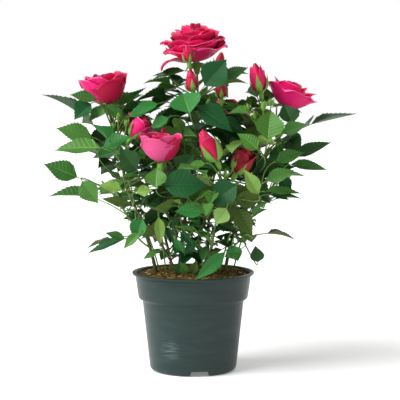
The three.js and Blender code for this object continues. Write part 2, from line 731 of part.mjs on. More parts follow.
function addBoughs() {
  for (const [name, { cane, fork }] of Object.entries(shoots)) {
    const curve = stemCurves[name];
    const start = fork === 1 ? shareOf(curve, seat) : 0;
    let bough = limb(curve, evenly(start, shoot.boughEnd, 3), shootRadii[name], shoot.sides);
    if (fork < 1) bough = bough.subtract(caneSolid(cane, seat));
    addPiece(`bough_${name}`, bough, "bark");
    markCurve(curve, 0, shoot.boughEnd, shootRadii[name]);
  }
}

// A bloom on its stalk: the head is turned to face along the end of the stalk's curve.
function addBloom(name, curve, from, { bloom, size }, radiusAt) {
  const facing = new THREE.Quaternion().setFromUnitVectors(new THREE.Vector3(0, 0, 1), curve.getTangent(1));
  const placed = new THREE.Matrix4().compose(curve.getPoint(1), facing, new THREE.Vector3(1, 1, 1));
  const head = bloomHead(bloom, size).map((part) => part.transform(placed.elements));
  addPiece(`rose_${name}`, joined([limb(curve, evenly(from, 1, 3), radiusAt, 5), ...head]), "petals");
}

function markBloom(curve, from, { bloom, size }, radiusAt) {
  markCurve(curve, from, 1, radiusAt);
  for (const [height, radius] of bloomRoom[bloom]) {
    spots.push({ at: along(curve.getPoint(1), curve.getTangent(1), height * size), radius: radius * size });
  }
}

function markRoom() {
  for (const [name, spec] of Object.entries(shoots)) {
    const curve = stemCurves[name];
    if (spec.bloom) markBloom(curve, shoot.stalkStart, spec, shootRadii[name]);
    markCurve(curve, shoot.boughEnd, spec.bloom ? shoot.stalkStart : 1, shootRadii[name]);
  }
  for (const [name, spec] of Object.entries(sideBuds)) markBloom(sideCurves[name], 0, spec, thinRadius);
  for (const name of Object.keys(twigs)) markCurve(stemCurves[name], 0, 1, thinRadius);
}

function addMasses() {
  const leading = growLeadingLeaves();
  let seed = 1;
  for (const [name, spec] of Object.entries(shoots)) {
    const curve = stemCurves[name];
    const from = shoot.boughEnd + shareOf(curve, seat);
    const to = spec.bloom ? shoot.stalkStart - shareOf(curve, seat) : 1;
    const grown = [...(leading[name] ?? []), ...growLeaves(curve, from, to, spec, seed++, 1)];
    const stem = limb(curve, evenly(from, to, 4), shootRadii[name], shoot.sides);
    addPiece(`leaves_${name}`, joined([stem, ...grown.flatMap(leafSolids)]), "foliage");
  }
  for (const [name, spec] of Object.entries(twigs)) {
    const curve = stemCurves[name];
    const grown = [...(leading[name] ?? []), ...growLeaves(curve, ...twigLeafShares, spec, seed++, twigVigour)];
    const stem = limb(curve, evenly(0, 1, 3), thinRadius, 5).subtract(caneSolid(spec.cane, seat));
    addPiece(`leaves_${name}`, joined([stem, ...grown.flatMap(leafSolids)]), "foliage");
  }
}

function addBlooms() {
  for (const [name, spec] of Object.entries(shoots)) {
    if (spec.bloom) addBloom(name, stemCurves[name], shoot.stalkStart, spec, shootRadii[name]);
  }
  for (const [name, spec] of Object.entries(sideBuds)) {
    const apart = shareOf(sideCurves[name], shootRadii[spec.shoot](spec.at) + thinRadius(0) + seat);
    addBloom(name, sideCurves[name], apart, spec, thinRadius);
  }
}

addPiece("pot", potSolid(), "pot");
addPiece("compost", compostSolid(), "compost");
addCanes();
addBoughs();
markRoom();
addMasses();
addBlooms();

export default bush;
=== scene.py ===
import itertools
import math

import bmesh
import bpy
import numpy as np
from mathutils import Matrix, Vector, noise


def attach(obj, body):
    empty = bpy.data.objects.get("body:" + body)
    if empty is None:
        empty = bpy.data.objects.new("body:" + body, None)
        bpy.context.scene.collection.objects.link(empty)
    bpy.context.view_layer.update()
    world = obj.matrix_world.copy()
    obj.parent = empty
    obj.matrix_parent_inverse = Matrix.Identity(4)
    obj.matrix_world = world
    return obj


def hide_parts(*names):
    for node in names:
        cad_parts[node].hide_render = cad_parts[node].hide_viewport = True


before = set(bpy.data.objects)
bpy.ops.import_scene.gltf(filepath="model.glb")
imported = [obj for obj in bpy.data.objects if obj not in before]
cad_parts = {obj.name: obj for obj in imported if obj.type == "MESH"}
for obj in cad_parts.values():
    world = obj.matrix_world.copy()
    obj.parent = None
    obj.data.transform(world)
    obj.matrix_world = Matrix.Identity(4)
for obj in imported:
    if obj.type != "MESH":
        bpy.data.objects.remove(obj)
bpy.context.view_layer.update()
mm = 0.001

# Camera, level with the top of the plant and tilted a little down
view = {"place": (0.0067, -1.5, 0.303), "tilt": 0.09, "lens": 138.3, "sensor": 36}

camera = bpy.data.objects.new("camera", bpy.data.cameras.new("camera"))
camera.data.lens = view["lens"]
camera.data.sensor_width = view["sensor"]
camera.location = view["place"]
camera.rotation_euler = (math.pi / 2 - view["tilt"], 0, 0)
bpy.context.scene.collection.objects.link(camera)
bpy.context.scene.camera = camera

# How draws follow one another, the same on every machine and in the part's source; and the seeds of each
# kind of piece, which count up from here
drawRule = {"spread": 2654435761, "factor": 1664525, "step": 1013904223, "range": 4294967296}
firstSeed = {
    "source": 1,
    "crumbs": 55,
    "finer": 100,
    "petals": 400,
    "prickles": 700,
    "sepals": 800,
    "leading": 9000,
}


def makeDraw(seed):
    state = (seed * drawRule["spread"]) % drawRule["range"]

    def draw(low, high):
        nonlocal state
        state = (state * drawRule["factor"] + drawRule["step"]) % drawRule["range"]
        return low + (high - low) * state / drawRule["range"]

    return draw


def mix(a, b, share):
    return a + (b - a) * share


def vector(*values):
    return np.array(values, float)


def unit(v):
    return v / np.linalg.norm(v)


def spun(x, y, degrees):
    # Turned about the upright axis
    c, s = math.cos(math.radians(degrees)), math.sin(math.radians(degrees))
    return x * c - y * s, x * s + y * c


def bentLine(angles, length):
    # How far out and up a line gets that follows these elevations, given in radians, in even steps
    steps = [np.cumsum(part(angles[:-1])) for part in (np.cos, np.sin)]
    return [np.concatenate([[0], step]) * length / (len(angles) - 1) for step in steps]


def direction(azimuth, elevation):
    a, e = math.radians(azimuth), math.radians(elevation)
    return vector(math.cos(e) * math.cos(a), math.cos(e) * math.sin(a), math.sin(e))


def turnedAbout(v, axis, angle):
    c, s = math.cos(math.radians(angle)), math.sin(math.radians(angle))
    return v * c + np.cross(axis, v) * s + axis * np.dot(axis, v) * (1 - c)


class Curve:
    # A Bezier curve through its first and last control point
    def __init__(self, *points):
        self.controls = np.array(points, float)

    def point(self, share):
        left = self.controls
        while len(left) > 1:
            left = left[:-1] + (left[1:] - left[:-1]) * share
        return left[0]

    def tangent(self, share, step=0.0001):
        return unit(self.point(min(1, share + step)) - self.point(max(0, share - step)))

    def points(self, start, end, count):
        return np.array([self.point(share) for share in np.linspace(start, end, count)])

    def length(self, chords=200):
        return np.linalg.norm(np.diff(self.points(0, 1, chords + 1), axis=0), axis=1).sum()


def shareOf(curve, distance):
    return distance / curve.length()


def shown(name, mesh, nodes=()):
    # Puts a finished mesh in the scene as a piece of the plant or pot
    piece = bpy.data.objects.new(name, mesh)
    bpy.context.scene.collection.objects.link(piece)
    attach(piece, "root")
    if nodes:
        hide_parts(*nodes)


def byName(fields, rows):
    # A dictionary for each row, which starts with its name
    return {name: dict(zip(fields, values)) for name, *values in rows}


class Gathering:
    # Many small shapes of one kind, gathered into one mesh of triangles
    def __init__(self):
        self.points, self.faces, self.finishes, self.count = [], [], [], 0

    def add(self, points, faces, finishes):
        self.points.append(points)
        self.faces.append(faces + self.count)
        self.finishes.append(finishes)
        self.count += len(points)

    def mesh(self, name, materials, crease):
        # Edges that turn by more than the crease, in degrees, shade as edges
        points = np.concatenate(self.points) * mm
        faces = np.concatenate(self.faces)
        mesh = bpy.data.meshes.new(name)
        mesh.vertices.add(len(points))
        mesh.loops.add(faces.size)
        mesh.polygons.add(len(faces))
        mesh.vertices.foreach_set("co", points.ravel())
        mesh.loops.foreach_set("vertex_index", faces.ravel())
        mesh.polygons.foreach_set("loop_start", np.arange(0, faces.size, 3))
        mesh.polygons.foreach_set("material_index", np.concatenate(self.finishes))
        mesh.polygons.foreach_set("use_smooth", np.ones(len(faces), bool))
        mesh.update(calc_edges=True)
        mesh.validate()
        mesh.set_sharp_from_angle(angle=math.radians(crease))
        for material in materials:
            mesh.materials.append(material)
        return mesh


def asMesh(name, shape):
    # The mesh of a bmesh, which is then freed
    mesh = bpy.data.meshes.new(name)
    shape.to_mesh(mesh)
    shape.free()
    return mesh


def spunLine(line, steps, apart):
    # A line of radii and heights spun round the upright axis; points less than apart are merged
    shape = bmesh.new()
    verts = [shape.verts.new((radius, 0, z)) for radius, z in line]
    edges = [shape.edges.new(pair) for pair in zip(verts, verts[1:])]
    turn = {"cent": (0, 0, 0), "axis": (0, 0, 1), "angle": 2 * math.pi}
    bmesh.ops.spin(shape, geom=verts + edges, steps=steps, use_merge=True, **turn)
    bmesh.ops.remove_doubles(shape, verts=shape.verts[:], dist=apart)
    return shape


def asArrays(shape):
    # The triangles of a bmesh, which is then freed
    bmesh.ops.triangulate(shape, faces=shape.faces[:])
    shape.verts.index_update()
    points = np.array([vert.co for vert in shape.verts])
    faces = np.array([[vert.index for vert in face.verts] for face in shape.faces])
    finishes = np.array([face.material_index for face in shape.faces])
    shape.free()
    return points, faces, finishes


def tubes(name, lines, sides):
    # One mesh of round tapering tubes, each along its points with a radius at each
    curve = bpy.data.curves.new(name, "CURVE")
    curve.dimensions = "3D"
    curve.bevel_depth = mm
    curve.bevel_resolution = sides // 2 - 2
    curve.use_fill_caps = True
    for points, radii in lines:
        spline = curve.splines.new("POLY")
        spline.points.add(len(points) - 1)
        placed = np.column_stack([points * mm, np.ones(len(points))])
        spline.points.foreach_set("co", placed.ravel())
        spline.points.foreach_set("radius", np.asarray(radii, float))
        spline.use_smooth = True
    holder = bpy.data.objects.new(name, curve)
    mesh = bpy.data.meshes.new_from_object(holder)
    bpy.data.objects.remove(holder)
    bpy.data.curves.remove(curve)
    mesh.name = name
    mesh.polygons.foreach_set("use_smooth", np.ones(len(mesh.polygons), bool))
    return mesh


def colour(code):
    # An sRGB hex value as a linear colour
    parts = [int(code[i : i + 2], 16) / 255 for i in (1, 3, 5)]
    return [p / 12.92 if p <= 0.04045 else ((p + 0.055) / 1.055) ** 2.4 for p in parts] + [1]


def finish(name, **settings):
    # A material with one Principled shader, its plain values set on the sockets
    material = bpy.data.materials.new(name)
    material.use_nodes = True
    shader = material.node_tree.nodes["Principled BSDF"]
    for socket, value in settings.items():
        shader.inputs[socket.replace("_", " ")].default_value = value
    return material, material.node_tree, shader


def addNode(tree, kind, values, links):
    # Values go to sockets or settings by name, links to sockets by name or number
    made = tree.nodes.new("ShaderNode" + kind)
    for name, value in values.items():
        if isinstance(name, int) or name in made.inputs:
            made.inputs[name].default_value = value
        else:
            setattr(made, name, value)
    for name, source in links.items():
        tree.links.new(source, made.inputs[name])
    return made


def ramp(tree, source, stops):
    # Colours along a value, as (place, colour) pairs
    made = addNode(tree, "ValToRGB", {}, {"Fac": source})
    elements = made.color_ramp.elements
    for i, (place, shade) in enumerate(stops):
        element = elements[i] if i < 2 else elements.new(place)
        element.position = place
        element.color = colour(shade)
    return made.outputs["Color"]


def objectCoords(tree, scale=(1, 1, 1)):
    place = addNode(tree, "TexCoord", {}, {}).outputs["Object"]
    return addNode(tree, "Mapping", {"Scale": scale}, {"Vector": place}).outputs["Vector"]


def bumped(tree, shader, height, distance, strength):
    made = addNode(tree, "Bump", {"Strength": strength, "Distance": distance}, {"Height": height})
    tree.links.new(made.outputs["Normal"], shader.inputs["Normal"])


def grained(name, look, **settings):
    # A finish with a fine grain in its relief, and in its colour too where the look has shades
    material, tree, shader = finish(name, **look["surface"], **settings)
    place = objectCoords(tree, look.get("stretch", (1, 1, 1)))
    grain = addNode(tree, "TexNoise", look["grain"], {"Vector": place}).outputs["Fac"]
    if "shades" in look:
        tree.links.new(ramp(tree, grain, look["shades"]), shader.inputs["Base Color"])
    bumped(tree, shader, grain, *look["relief"])
    return material


compostTop = 90
seat = 0.3  # gap where one limb grows from another

# Canes, shoots and twigs stand as in the part's source. foot: where a cane leaves the compost
canes = byName(
    ("foot", "top", "radii"),
    [
        ("left", (-35, -6), (-52, -8, 150), (2.3, 1.7)),
        ("green", (-13, -24), (-44, -29, 146), (1.7, 1.35)),
        ("thick", (-14, 5), (-5, 5, 170), (2.7, 1.9)),
        ("front", (5, -18), (6, -34, 150), (1.8, 1.45)),
        ("right", (30, -6), (46, -8, 158), (2.2, 1.6)),
        ("far", (14, 24), (16, 40, 158), (2.2, 1.6)),
        ("farleft", (-20, 24), (-36, 42, 150), (1.9, 1.5)),
        ("middle", (15, 3), (22, -12, 146), (1.6, 1.3)),
    ],
)

# fork: share of the cane at which the shoot leaves it; tip: the base of its bloom;
# face: azimuth and elevation that the bloom looks towards; turn: azimuth of the first leaf
shoots = byName(
    ("cane", "fork", "tip", "face", "leaves", "turn"),
    [
        ("top", "thick", 1, (3, 0, 303), (215, 84), 8, 20),
        ("left", "left", 1, (-83, -14, 262), (200, 76), 7, 120),
        ("lowleft", "left", 0.66, (-88, -24, 188), (190, 45), 6, 215),
        ("bud_left", "green", 1, (-58, -38, 231), (350, 52), 6, 250),
        ("front", "front", 1, (-29, -66, 210), (262, 80), 5, 215),
        ("bud_front", "front", 0.8, (22, -70, 211), (190, 64), 5, 300),
        ("bud_right", "right", 1, (65, -19, 274), (190, 78), 7, 330),
        ("right", "right", 0.86, (90, 2, 259), (5, 48), 6, 0),
        ("lowright", "right", 0.62, (86, -24, 192), (340, 40), 6, 300),
        ("farright", "far", 1, (38, 68, 240), (60, 66), 5, 30),
        ("far", "far", 0.8, (-10, 84, 212), (95, 60), 4, 90),
        ("farleft", "farleft", 1, (-62, 62, 228), (120, 66), 5, 150),
        ("middle", "middle", 1, (30, -48, 192), (290, 60), 6, 240),
        ("lowfar", "farleft", 0.7, (-76, 50, 180), (150, 45), 5, 110),
    ],
)

# Short leafy twigs low on the canes
twigs = byName(
    ("cane", "at", "towards", "length", "leaves", "turn"),
    [
        ("twig_thick", "thick", 0.36, (235, 40), 32, 3, 265),
        ("twig_farleft", "farleft", 0.45, (150, 30), 30, 3, 130),
        ("twig_left", "left", 0.5, (205, 30), 26, 1, 250),
        ("twig_front", "front", 0.42, (200, 45), 30, 3, 220),
        ("twig_right", "right", 0.42, (330, 30), 26, 3, 20),
        ("twig_far", "far", 0.5, (60, 30), 30, 3, 80),
        ("twig_green", "green", 0.4, (20, 62), 36, 3, 330),
    ],
)

# Buds on thin stalks off the side of a shoot's leafy stem
sideBuds = byName(
    ("shoot", "at", "tip", "face"),
    [
        ("bud_crown", "top", 0.7, (0, -34, 275), (190, 82)),
        ("bud_top", "top", 0.84, (24, -31, 296), (330, 76)),
        ("bud_side", "top", 0.66, (27, -28, 268), (250, 84)),
        ("bud_dark", "bud_front", 0.6, (41, -44, 197), (350, 62)),
    ],
)

# kind and size of each bloom, and its turn about its own axis
blooms = byName(
    ("kind", "size", "spin"),
    [
        ("top", "open", 31, 20),
        ("left", "cup", 23, 200),
        ("bud_left", "half", 11, 0),
        ("front", "cup", 20, 250),
        ("bud_front", "bud", 8, 100),
        ("bud_right", "bud", 9.5, 40),
        ("right", "cup", 20, 0),
        ("farright", "cup", 18, 30),
        ("far", "half", 12, 60),
        ("farleft", "half", 13, 0),
        ("bud_crown", "bud", 6.5, 60),
        ("bud_top", "bud", 5.5, 0),
        ("bud_side", "bud", 6.5, 200),
        ("bud_dark", "half", 10, 0),
    ],
)

# Leaves that lead out to the edge of the crown or lie open to the front: stem, share of it, point, roll
leadingLeaves = [
    ("left", 0.52, (-148, -6, 272), 0),
    ("left", 0.42, (-134, 2, 222), 20),
    ("left", 0.82, (-104, -62, 264), 10),
    ("left", 0.82, (-42, -24, 278), -10),
    ("lowleft", 0.93, (-142, -44, 204), 40),
    ("lowleft", 0.4, (-141, -18, 178), -20),
    ("twig_left", 0.7, (-103, -28, 121), 10),
    ("right", 0.6, (163, 8, 250), 5),
    ("right", 0.42, (133, 6, 227), -10),
    ("right", 0.55, (106, -56, 240), 15),
    ("lowright", 0.95, (130, -34, 203), -25),
    ("lowright", 0.4, (106, -10, 174), 10),
    ("twig_right", 0.6, (101, 0, 131), 0),
    ("twig_right", 0.4, (6, -66, 103), 0),
    ("twig_right", 0.95, (82, -52, 108), 20),
    ("bud_right", 0.6, (66, -54, 262), 0),
    ("bud_right", 0.74, (30, -24, 276), 20),
    ("top", 0.82, (-40, 2, 290), 15),
    ("top", 0.76, (54, 4, 295), -20),
    ("top", 0.7, (-60, -34, 266), 20),
    ("top", 0.6, (-14, -68, 260), 15),
    ("top", 0.45, (46, -54, 238), -10),
    ("front", 0.5, (-50, -90, 172), 20),
    ("bud_front", 0.4, (18, -98, 158), -20),
    ("twig_thick", 0.6, (18, -58, 198), -45),
    ("twig_green", 0.63, (-38, -104, 172), 15),
    ("twig_green", 0.83, (-49, -62, 176), 40),
    ("middle", 0.65, (96, -24, 202), 55),
    ("middle", 0.88, (51, -67, 136), 55),
    ("top", 0.4, (-48, -40, 209), -55),
    ("farleft", 0.44, (-7, 22, 259), -60),
    ("farright", 0.37, (87, 10, 232), -60),
]

growth = {
    "bow": (0.35, 0.35, 0.55),  # of a cane: how far its bend stands from foot to top, along x, y and z
    "flare": 0.5,  # how much thicker a cane is at its foot
    "flareFade": 14,
    "boughEnd": 0.24,  # share of the shoot where its leafy stem starts
    "stalkStart": 0.92,  # and where the bloom's own stalk starts
    "forkTurn": 0.45,
    "forkShrink": 0.8,
    "stiffness": 0.36,
    "tipRadius": 1.15,
    "thinRadius": 1.1,  # of the twigs and the side buds' stalks
    "twigLeafShares": (0.3, 1.1),
    "twigVigour": 0.84,
    "twigRise": (15, 30),  # degrees by which a twig's tip, and then its end, look higher than its start
    "sideTurn": 0.3,  # how far a side bud's stalk starts along its shoot
}

leaf = {
    "length": (38, 50),  # stalk and rachis together
    "places": (0.45, 0.76, 1),  # where the rachis carries its pairs and its end leaflet
    "stalkRadius": 1,
    "phyllotaxis": 137.5,
    "rise": (12, 50),
    "riseGain": 28,
    "droop": (15, 60),
    "droopLoss": 0.5,
    "roll": (-32, 32),
    "pairedAbove": 0.92,  # smaller leaves have one pair of leaflets, not two
    "swing": (-12, 12),
    "firstPlace": 0.6,  # of the first leaf, as a share of the distance between two
    "taper": (1.06, 0.84),  # size of the first and the last leaf of a stem
    "tries": (0, 24, -24, 48, -48, 72, -72, 110, -110),
    "leadingRise": 21,
    "leadingDroop": 22,
    "leadingEnd": 0.5,  # longest end leaflet as a share of the leaf's reach
    "leadingTries": [(turn, pairs) for turn in (0, 20, -20, 40, -40) for pairs in (2, 1)],
}

leaflet = {
    "length": (35, 46),
    "pairShrink": (0.74, 0.9),
    "pairAngle": (80, 68),
    "dips": (-18, -9, -2),
    "dipSway": (-4, 4),
    "turnSway": (-6, 6),
    "pairWider": 1.15,
    "halfWidth": 0.3,
    "fold": 0.26,
    "arch": (0.06, 0.2),
    "rootStart": 0.35,
    "endSunk": 0.6,
}

room = {
    "clearance": 1.6,
    "spotPitch": 4.5,
    "limbPitch": 3,
    "bladeSpot": 0.6,
    "testSpots": 8,  # on the stalk of a leaf that is tried, and of one that stands
    "stalkSpots": 12,
    "nearby": 4,  # what stands further off than this isn't tested
    "node": 13,
    "overRim": 3,
    "pastRim": 4,
    "lowest": 20,
    "rimRadius": 60,
    "rimHeight": 97.5,
}


def caneCurve(foot, top):
    foot, top = vector(*foot, compostTop), vector(*top)
    return Curve(foot, mix(foot, top, vector(*growth["bow"])), top)


def shootCurve(start, heading, tip, arriving):
    reach = np.linalg.norm(tip - start) * growth["stiffness"]
    return Curve(start, start + heading * reach, tip - arriving * reach, tip)


def radiusAlongCane(name):
    thick, thin = canes[name]["radii"]
    flare, fade = growth["flare"], growth["flareFade"]
    return lambda share: mix(thick, thin, share) * (1 + flare * math.exp(-abs(share) * fade))


def radiusAlongShoot(base):
    return lambda share: mix(base, growth["tipRadius"], share)


caneCurves = {name: caneCurve(cane["foot"], cane["top"]) for name, cane in canes.items()}
caneRadii = {name: radiusAlongCane(name) for name in canes}
stemCurves, stemRadii = {}, {}
thinRadius = radiusAlongShoot(growth["thinRadius"])

for name, spec in shoots.items():
    parent, fork, goesOn = caneCurves[spec["cane"]], spec["fork"], spec["fork"] == 1
    start, tip = parent.point(fork), vector(*spec["tip"])
    outward = unit((tip - start) * vector(1, 1, 0))
    heading = unit(mix(parent.tangent(fork), outward, 0 if goesOn else growth["forkTurn"]))
    stemCurves[name] = shootCurve(start, heading, tip, direction(*spec["face"]))
    base = caneRadii[spec["cane"]](fork) * (1 if goesOn else growth["forkShrink"])
    stemRadii[name] = radiusAlongShoot(base)

for name, spec in twigs.items():
    azimuth, elevation = spec["towards"]
    start = caneCurves[spec["cane"]].point(spec["at"])
    outward, arriving = [direction(azimuth, elevation + rise) for rise in growth["twigRise"]]
    tip = start + outward * spec["length"]
    stemCurves[name] = shootCurve(start, direction(azimuth, elevation), tip, arriving)
    stemRadii[name] = thinRadius

sideCurves = {}
for name, spec in sideBuds.items():
    parent = stemCurves[spec["shoot"]]
    start, tip = parent.point(spec["at"]), vector(*spec["tip"])
    heading = unit(mix(unit(tip - start), parent.tangent(spec["at"]), growth["sideTurn"]))
    sideCurves[name] = shootCurve(start, heading, tip, direction(*spec["face"]))


def outlineWidth(share):
    # Width of a plain blade along its length, broadest below its middle
    return np.sqrt(np.maximum(0, 1 - (2 * share - 1) ** 2)) * (1.25 - 0.55 * share)


def onBlade(blade, share, across):
    # Points of a blade at shares of its length and distances across it
    rise = blade["fold"] * np.abs(across) - blade["arch"] * blade["length"] * share**2
    return (
        blade["root"]
        + np.multiply.outer(share * blade["length"], blade["forward"])
        + np.multiply.outer(across, blade["aside"])
        + np.multiply.outer(rise, blade["above"])
    )


def makeBlade(rachis, level, azimuth, turn, length, roll, draw):
    tangent = rachis.tangent(leaf["places"][level])
    flat = direction(azimuth - 90, 0)
    above = turnedAbout(np.cross(flat, tangent), tangent, roll)
    forward = turnedAbout(tangent, above, turn + draw(*leaflet["turnSway"]))
    aside = np.cross(forward, above)
    forward = turnedAbout(forward, aside, leaflet["dips"][level] + draw(*leaflet["dipSway"]))
    ahead = leaflet["rootStart"] if turn else -leaflet["endSunk"]
    return {
        "root": rachis.point(leaf["places"][level]) + forward * ahead,
        "forward": forward,
        "aside": aside,
        "above": np.cross(aside, forward),
        "place": leaf["places"][level],
        "length": length - ahead,
        "half": leaflet["halfWidth"] * length * (leaflet["pairWider"] if turn else 1),
        "fold": leaflet["fold"],
        "arch": draw(*leaflet["arch"]),
    }


def makeLeaf(origin, azimuth, rise, droop, length, endLength, roll, pairs, draw):
    bend = origin + direction(azimuth, rise) * length / 2
    end = bend + direction(azimuth, rise - droop) * length / 2
    rachis = Curve(origin, bend, end)
    blades = []
    for level in range(2 - pairs, 3):
        for side in (0,) if level == 2 else (1, -1):
            size = endLength * (1 if level == 2 else leaflet["pairShrink"][level])
            turn = 0 if level == 2 else side * leaflet["pairAngle"][level]
            blades.append(makeBlade(rachis, level, azimuth, turn, size, roll, draw))
    return {"origin": origin, "rachis": rachis, "blades": blades}


def seededLeaf(origin, azimuth, height, vigour, draw):
    length = draw(*leaf["length"]) * vigour
    endLength = draw(*leaflet["length"]) * vigour
    rise = draw(*leaf["rise"]) + leaf["riseGain"] * height
    droop = draw(*leaf["droop"]) * (1 - leaf["droopLoss"] * height)
    roll = draw(*leaf["roll"])
    pairs = 2 if vigour > leaf["pairedAbove"] else 1
    return makeLeaf(origin, azimuth, rise, droop, length, endLength, roll, pairs, draw)


def leafTowards(origin, tip, roll, pairs, draw):
    reach = vector(*tip) - origin
    far = np.linalg.norm(reach)
    azimuth = math.degrees(math.atan2(reach[1], reach[0]))
    rise = math.degrees(math.asin(reach[2] / far)) + leaf["leadingRise"]
    droop, endLength = leaf["leadingDroop"], min(leaflet["length"][1], far * leaf["leadingEnd"])
    return makeLeaf(origin, azimuth, rise, droop, far - endLength, endLength, roll, pairs, draw)


def bladeSpots(blade):
    made = []
    rows = math.ceil(blade["length"] / room["spotPitch"])
    for share in np.linspace(0, 1, rows + 1):
        half = blade["half"] * outlineWidth(share)
        columns = max(1, math.ceil(2 * half / room["spotPitch"]))
        across = np.linspace(-half, half, columns + 1)
        made.append(onBlade(blade, np.full(columns + 1, share), across))
    return np.concatenate(made)


class Room:
    # What stands already: limbs, blooms and leaves as spots with a radius, and leaves also as blades
    def __init__(self, clearance):
        self.clearance = clearance
        self.spots, self.radii = np.zeros((0, 3)), np.zeros(0)
        self.blades = []

    def mark(self, points, radii):
        self.spots = np.concatenate([self.spots, points])
        self.radii = np.concatenate([self.radii, np.broadcast_to(radii, len(points))])

    def markCurve(self, curve, start, end, radiusAt):
        length = np.linalg.norm(curve.point(end) - curve.point(start))
        shares = np.linspace(start, end, math.ceil(length / room["limbPitch"]) + 1)
        self.mark(np.array([curve.point(s) for s in shares]), np.array([radiusAt(s) for s in shares]))

    def touches(self, blade, points, radii):
        offset = points - blade["root"]
        ahead = offset @ blade["forward"]
        share = np.clip(ahead / blade["length"], 0, 1)
        across = np.abs(offset @ blade["aside"])
        rise = blade["fold"] * across - blade["arch"] * blade["length"] * share**2
        near = (ahead >= -radii - 1) & (ahead <= blade["length"] + radii)
        near &= across <= blade["half"] * outlineWidth(share) + radii
        return bool((near & (np.abs(offset @ blade["above"] - rise) < radii + self.clearance)).any())

    def holds(self, made):
        own = made["rachis"].points(1 / room["testSpots"], 1, room["testSpots"])
        points = np.concatenate([own] + [bladeSpots(blade) for blade in made["blades"]])
        outside = np.hypot(points[:, 0], points[:, 1]) > room["rimRadius"] + room["pastRim"]
        over = points[:, 2] > room["rimHeight"] + room["overRim"]
        if not (over | (outside & (points[:, 2] > compostTop - room["lowest"]))).all():
            return False
        middle = points.mean(axis=0)
        reach = np.linalg.norm(points - middle, axis=1).max()
        close = np.linalg.norm(self.spots - middle, axis=1) < reach + self.radii + room["nearby"]
        close &= np.linalg.norm(self.spots - made["origin"], axis=1) > room["node"]
        spots, radii = self.spots[close], self.radii[close]
        gaps = np.linalg.norm(spots[:, None] - own[None], axis=2).min(axis=1, initial=np.inf)
        if (gaps < radii + leaf["stalkRadius"] + 1).any():
            return False
        if any(self.touches(blade, spots, radii) for blade in made["blades"]):
            return False
        return not any(
            self.touches(blade, points, room["bladeSpot"])
            for blade in self.blades
            if np.linalg.norm(blade["root"] - middle) < reach + blade["length"] + room["nearby"]
        )

    def settle(self, made):
        stalk = made["rachis"].points(1 / room["stalkSpots"], 1, room["stalkSpots"])
        self.mark(stalk, leaf["stalkRadius"])
        for blade in made["blades"]:
            self.blades.append(blade)
            self.mark(bladeSpots(blade), room["bladeSpot"])


# Balls that stand for a bloom in the test for room: height above its base, and radius
bloomRoom = {
    "open": ((0.25, 0.5), (0.62, 0.95)),
    "cup": ((0.3, 0.5), (0.9, 0.9)),
    "half": ((0.45, 0.7), (1.2, 0.8)),
    "bud": ((0.6, 0.8), (1.5, 0.8)),
}


def markLimbs(crown):
    for name, curve in caneCurves.items():
        crown.markCurve(curve, 0, 1, caneRadii[name])
    for name in shoots:
        crown.markCurve(stemCurves[name], 0, growth["boughEnd"], stemRadii[name])
    for name in shoots:
        if name in blooms:
            markBloom(crown, name, stemCurves[name], growth["stalkStart"], stemRadii[name])
        leafyEnd = growth["stalkStart"] if name in blooms else 1
        crown.markCurve(stemCurves[name], growth["boughEnd"], leafyEnd, stemRadii[name])
    for name, curve in sideCurves.items():
        markBloom(crown, name, curve, 0, thinRadius)
    for name in twigs:
        crown.markCurve(stemCurves[name], 0, 1, thinRadius)


def markBloom(crown, name, curve, start, radiusAt):
    crown.markCurve(curve, start, 1, radiusAt)
    bloom = blooms[name]
    for height, radius in bloomRoom[bloom["kind"]]:
        middle = curve.point(1) + curve.tangent(1) * height * bloom["size"]
        crown.mark(middle[None], radius * bloom["size"])


def growLeaves(crown, curve, start, end, leaves, turn, seed, vigour, allowed=None):
    # A leaf that finds no room, however it turns, is skipped
    grown = []
    for i in range(leaves):
        origin = curve.point(mix(start, end, (i + leaf["firstPlace"]) / leaves))
        size = vigour * mix(*leaf["taper"], i / leaves)
        for aside in leaf["tries"]:
            draw = makeDraw(seed * 100 + i + 1)
            azimuth = turn + i * leaf["phyllotaxis"] + draw(*leaf["swing"]) + aside
            made = seededLeaf(origin, azimuth, i / leaves, size, draw)
            if (allowed is None or allowed(made)) and crown.holds(made):
                crown.settle(made)
                grown.append(made)
                break
    return grown


def growLeadingLeaves(crown):
    grown = {}
    for i, (stem, at, tip, roll) in enumerate(leadingLeaves):
        for turn, pairs in leaf["leadingTries"]:
            draw = makeDraw(firstSeed["leading"] + i)
            made = leafTowards(stemCurves[stem].point(at), tip, roll + turn, pairs, draw)
            if crown.holds(made):
                crown.settle(made)
                made["leads"] = True
                grown.setdefault(stem, []).append(made)
                break
    return grown


def growSource():
    # The leaves of the part's own masses, by stem
    crown = Room(room["clearance"])
    markLimbs(crown)
    leaves = growLeadingLeaves(crown)
    for i, (name, spec) in enumerate([*shoots.items(), *twigs.items()]):
        curve = stemCurves[name]
        if name in twigs:
            (start, end), vigour = growth["twigLeafShares"], growth["twigVigour"]
        else:
            start, vigour = growth["boughEnd"] + shareOf(curve, seat), 1
            end = growth["stalkStart"] - shareOf(curve, seat) if name in blooms else 1
        seed = firstSeed["source"] + i
        grown = growLeaves(crown, curve, start, end, spec["leaves"], spec["turn"], seed, vigour)
        leaves.setdefault(name, []).extend(grown)
    return leaves


leavesOn = growSource()
print("leaves of the source's rule:", sum(len(grown) for grown in leavesOn.values()))

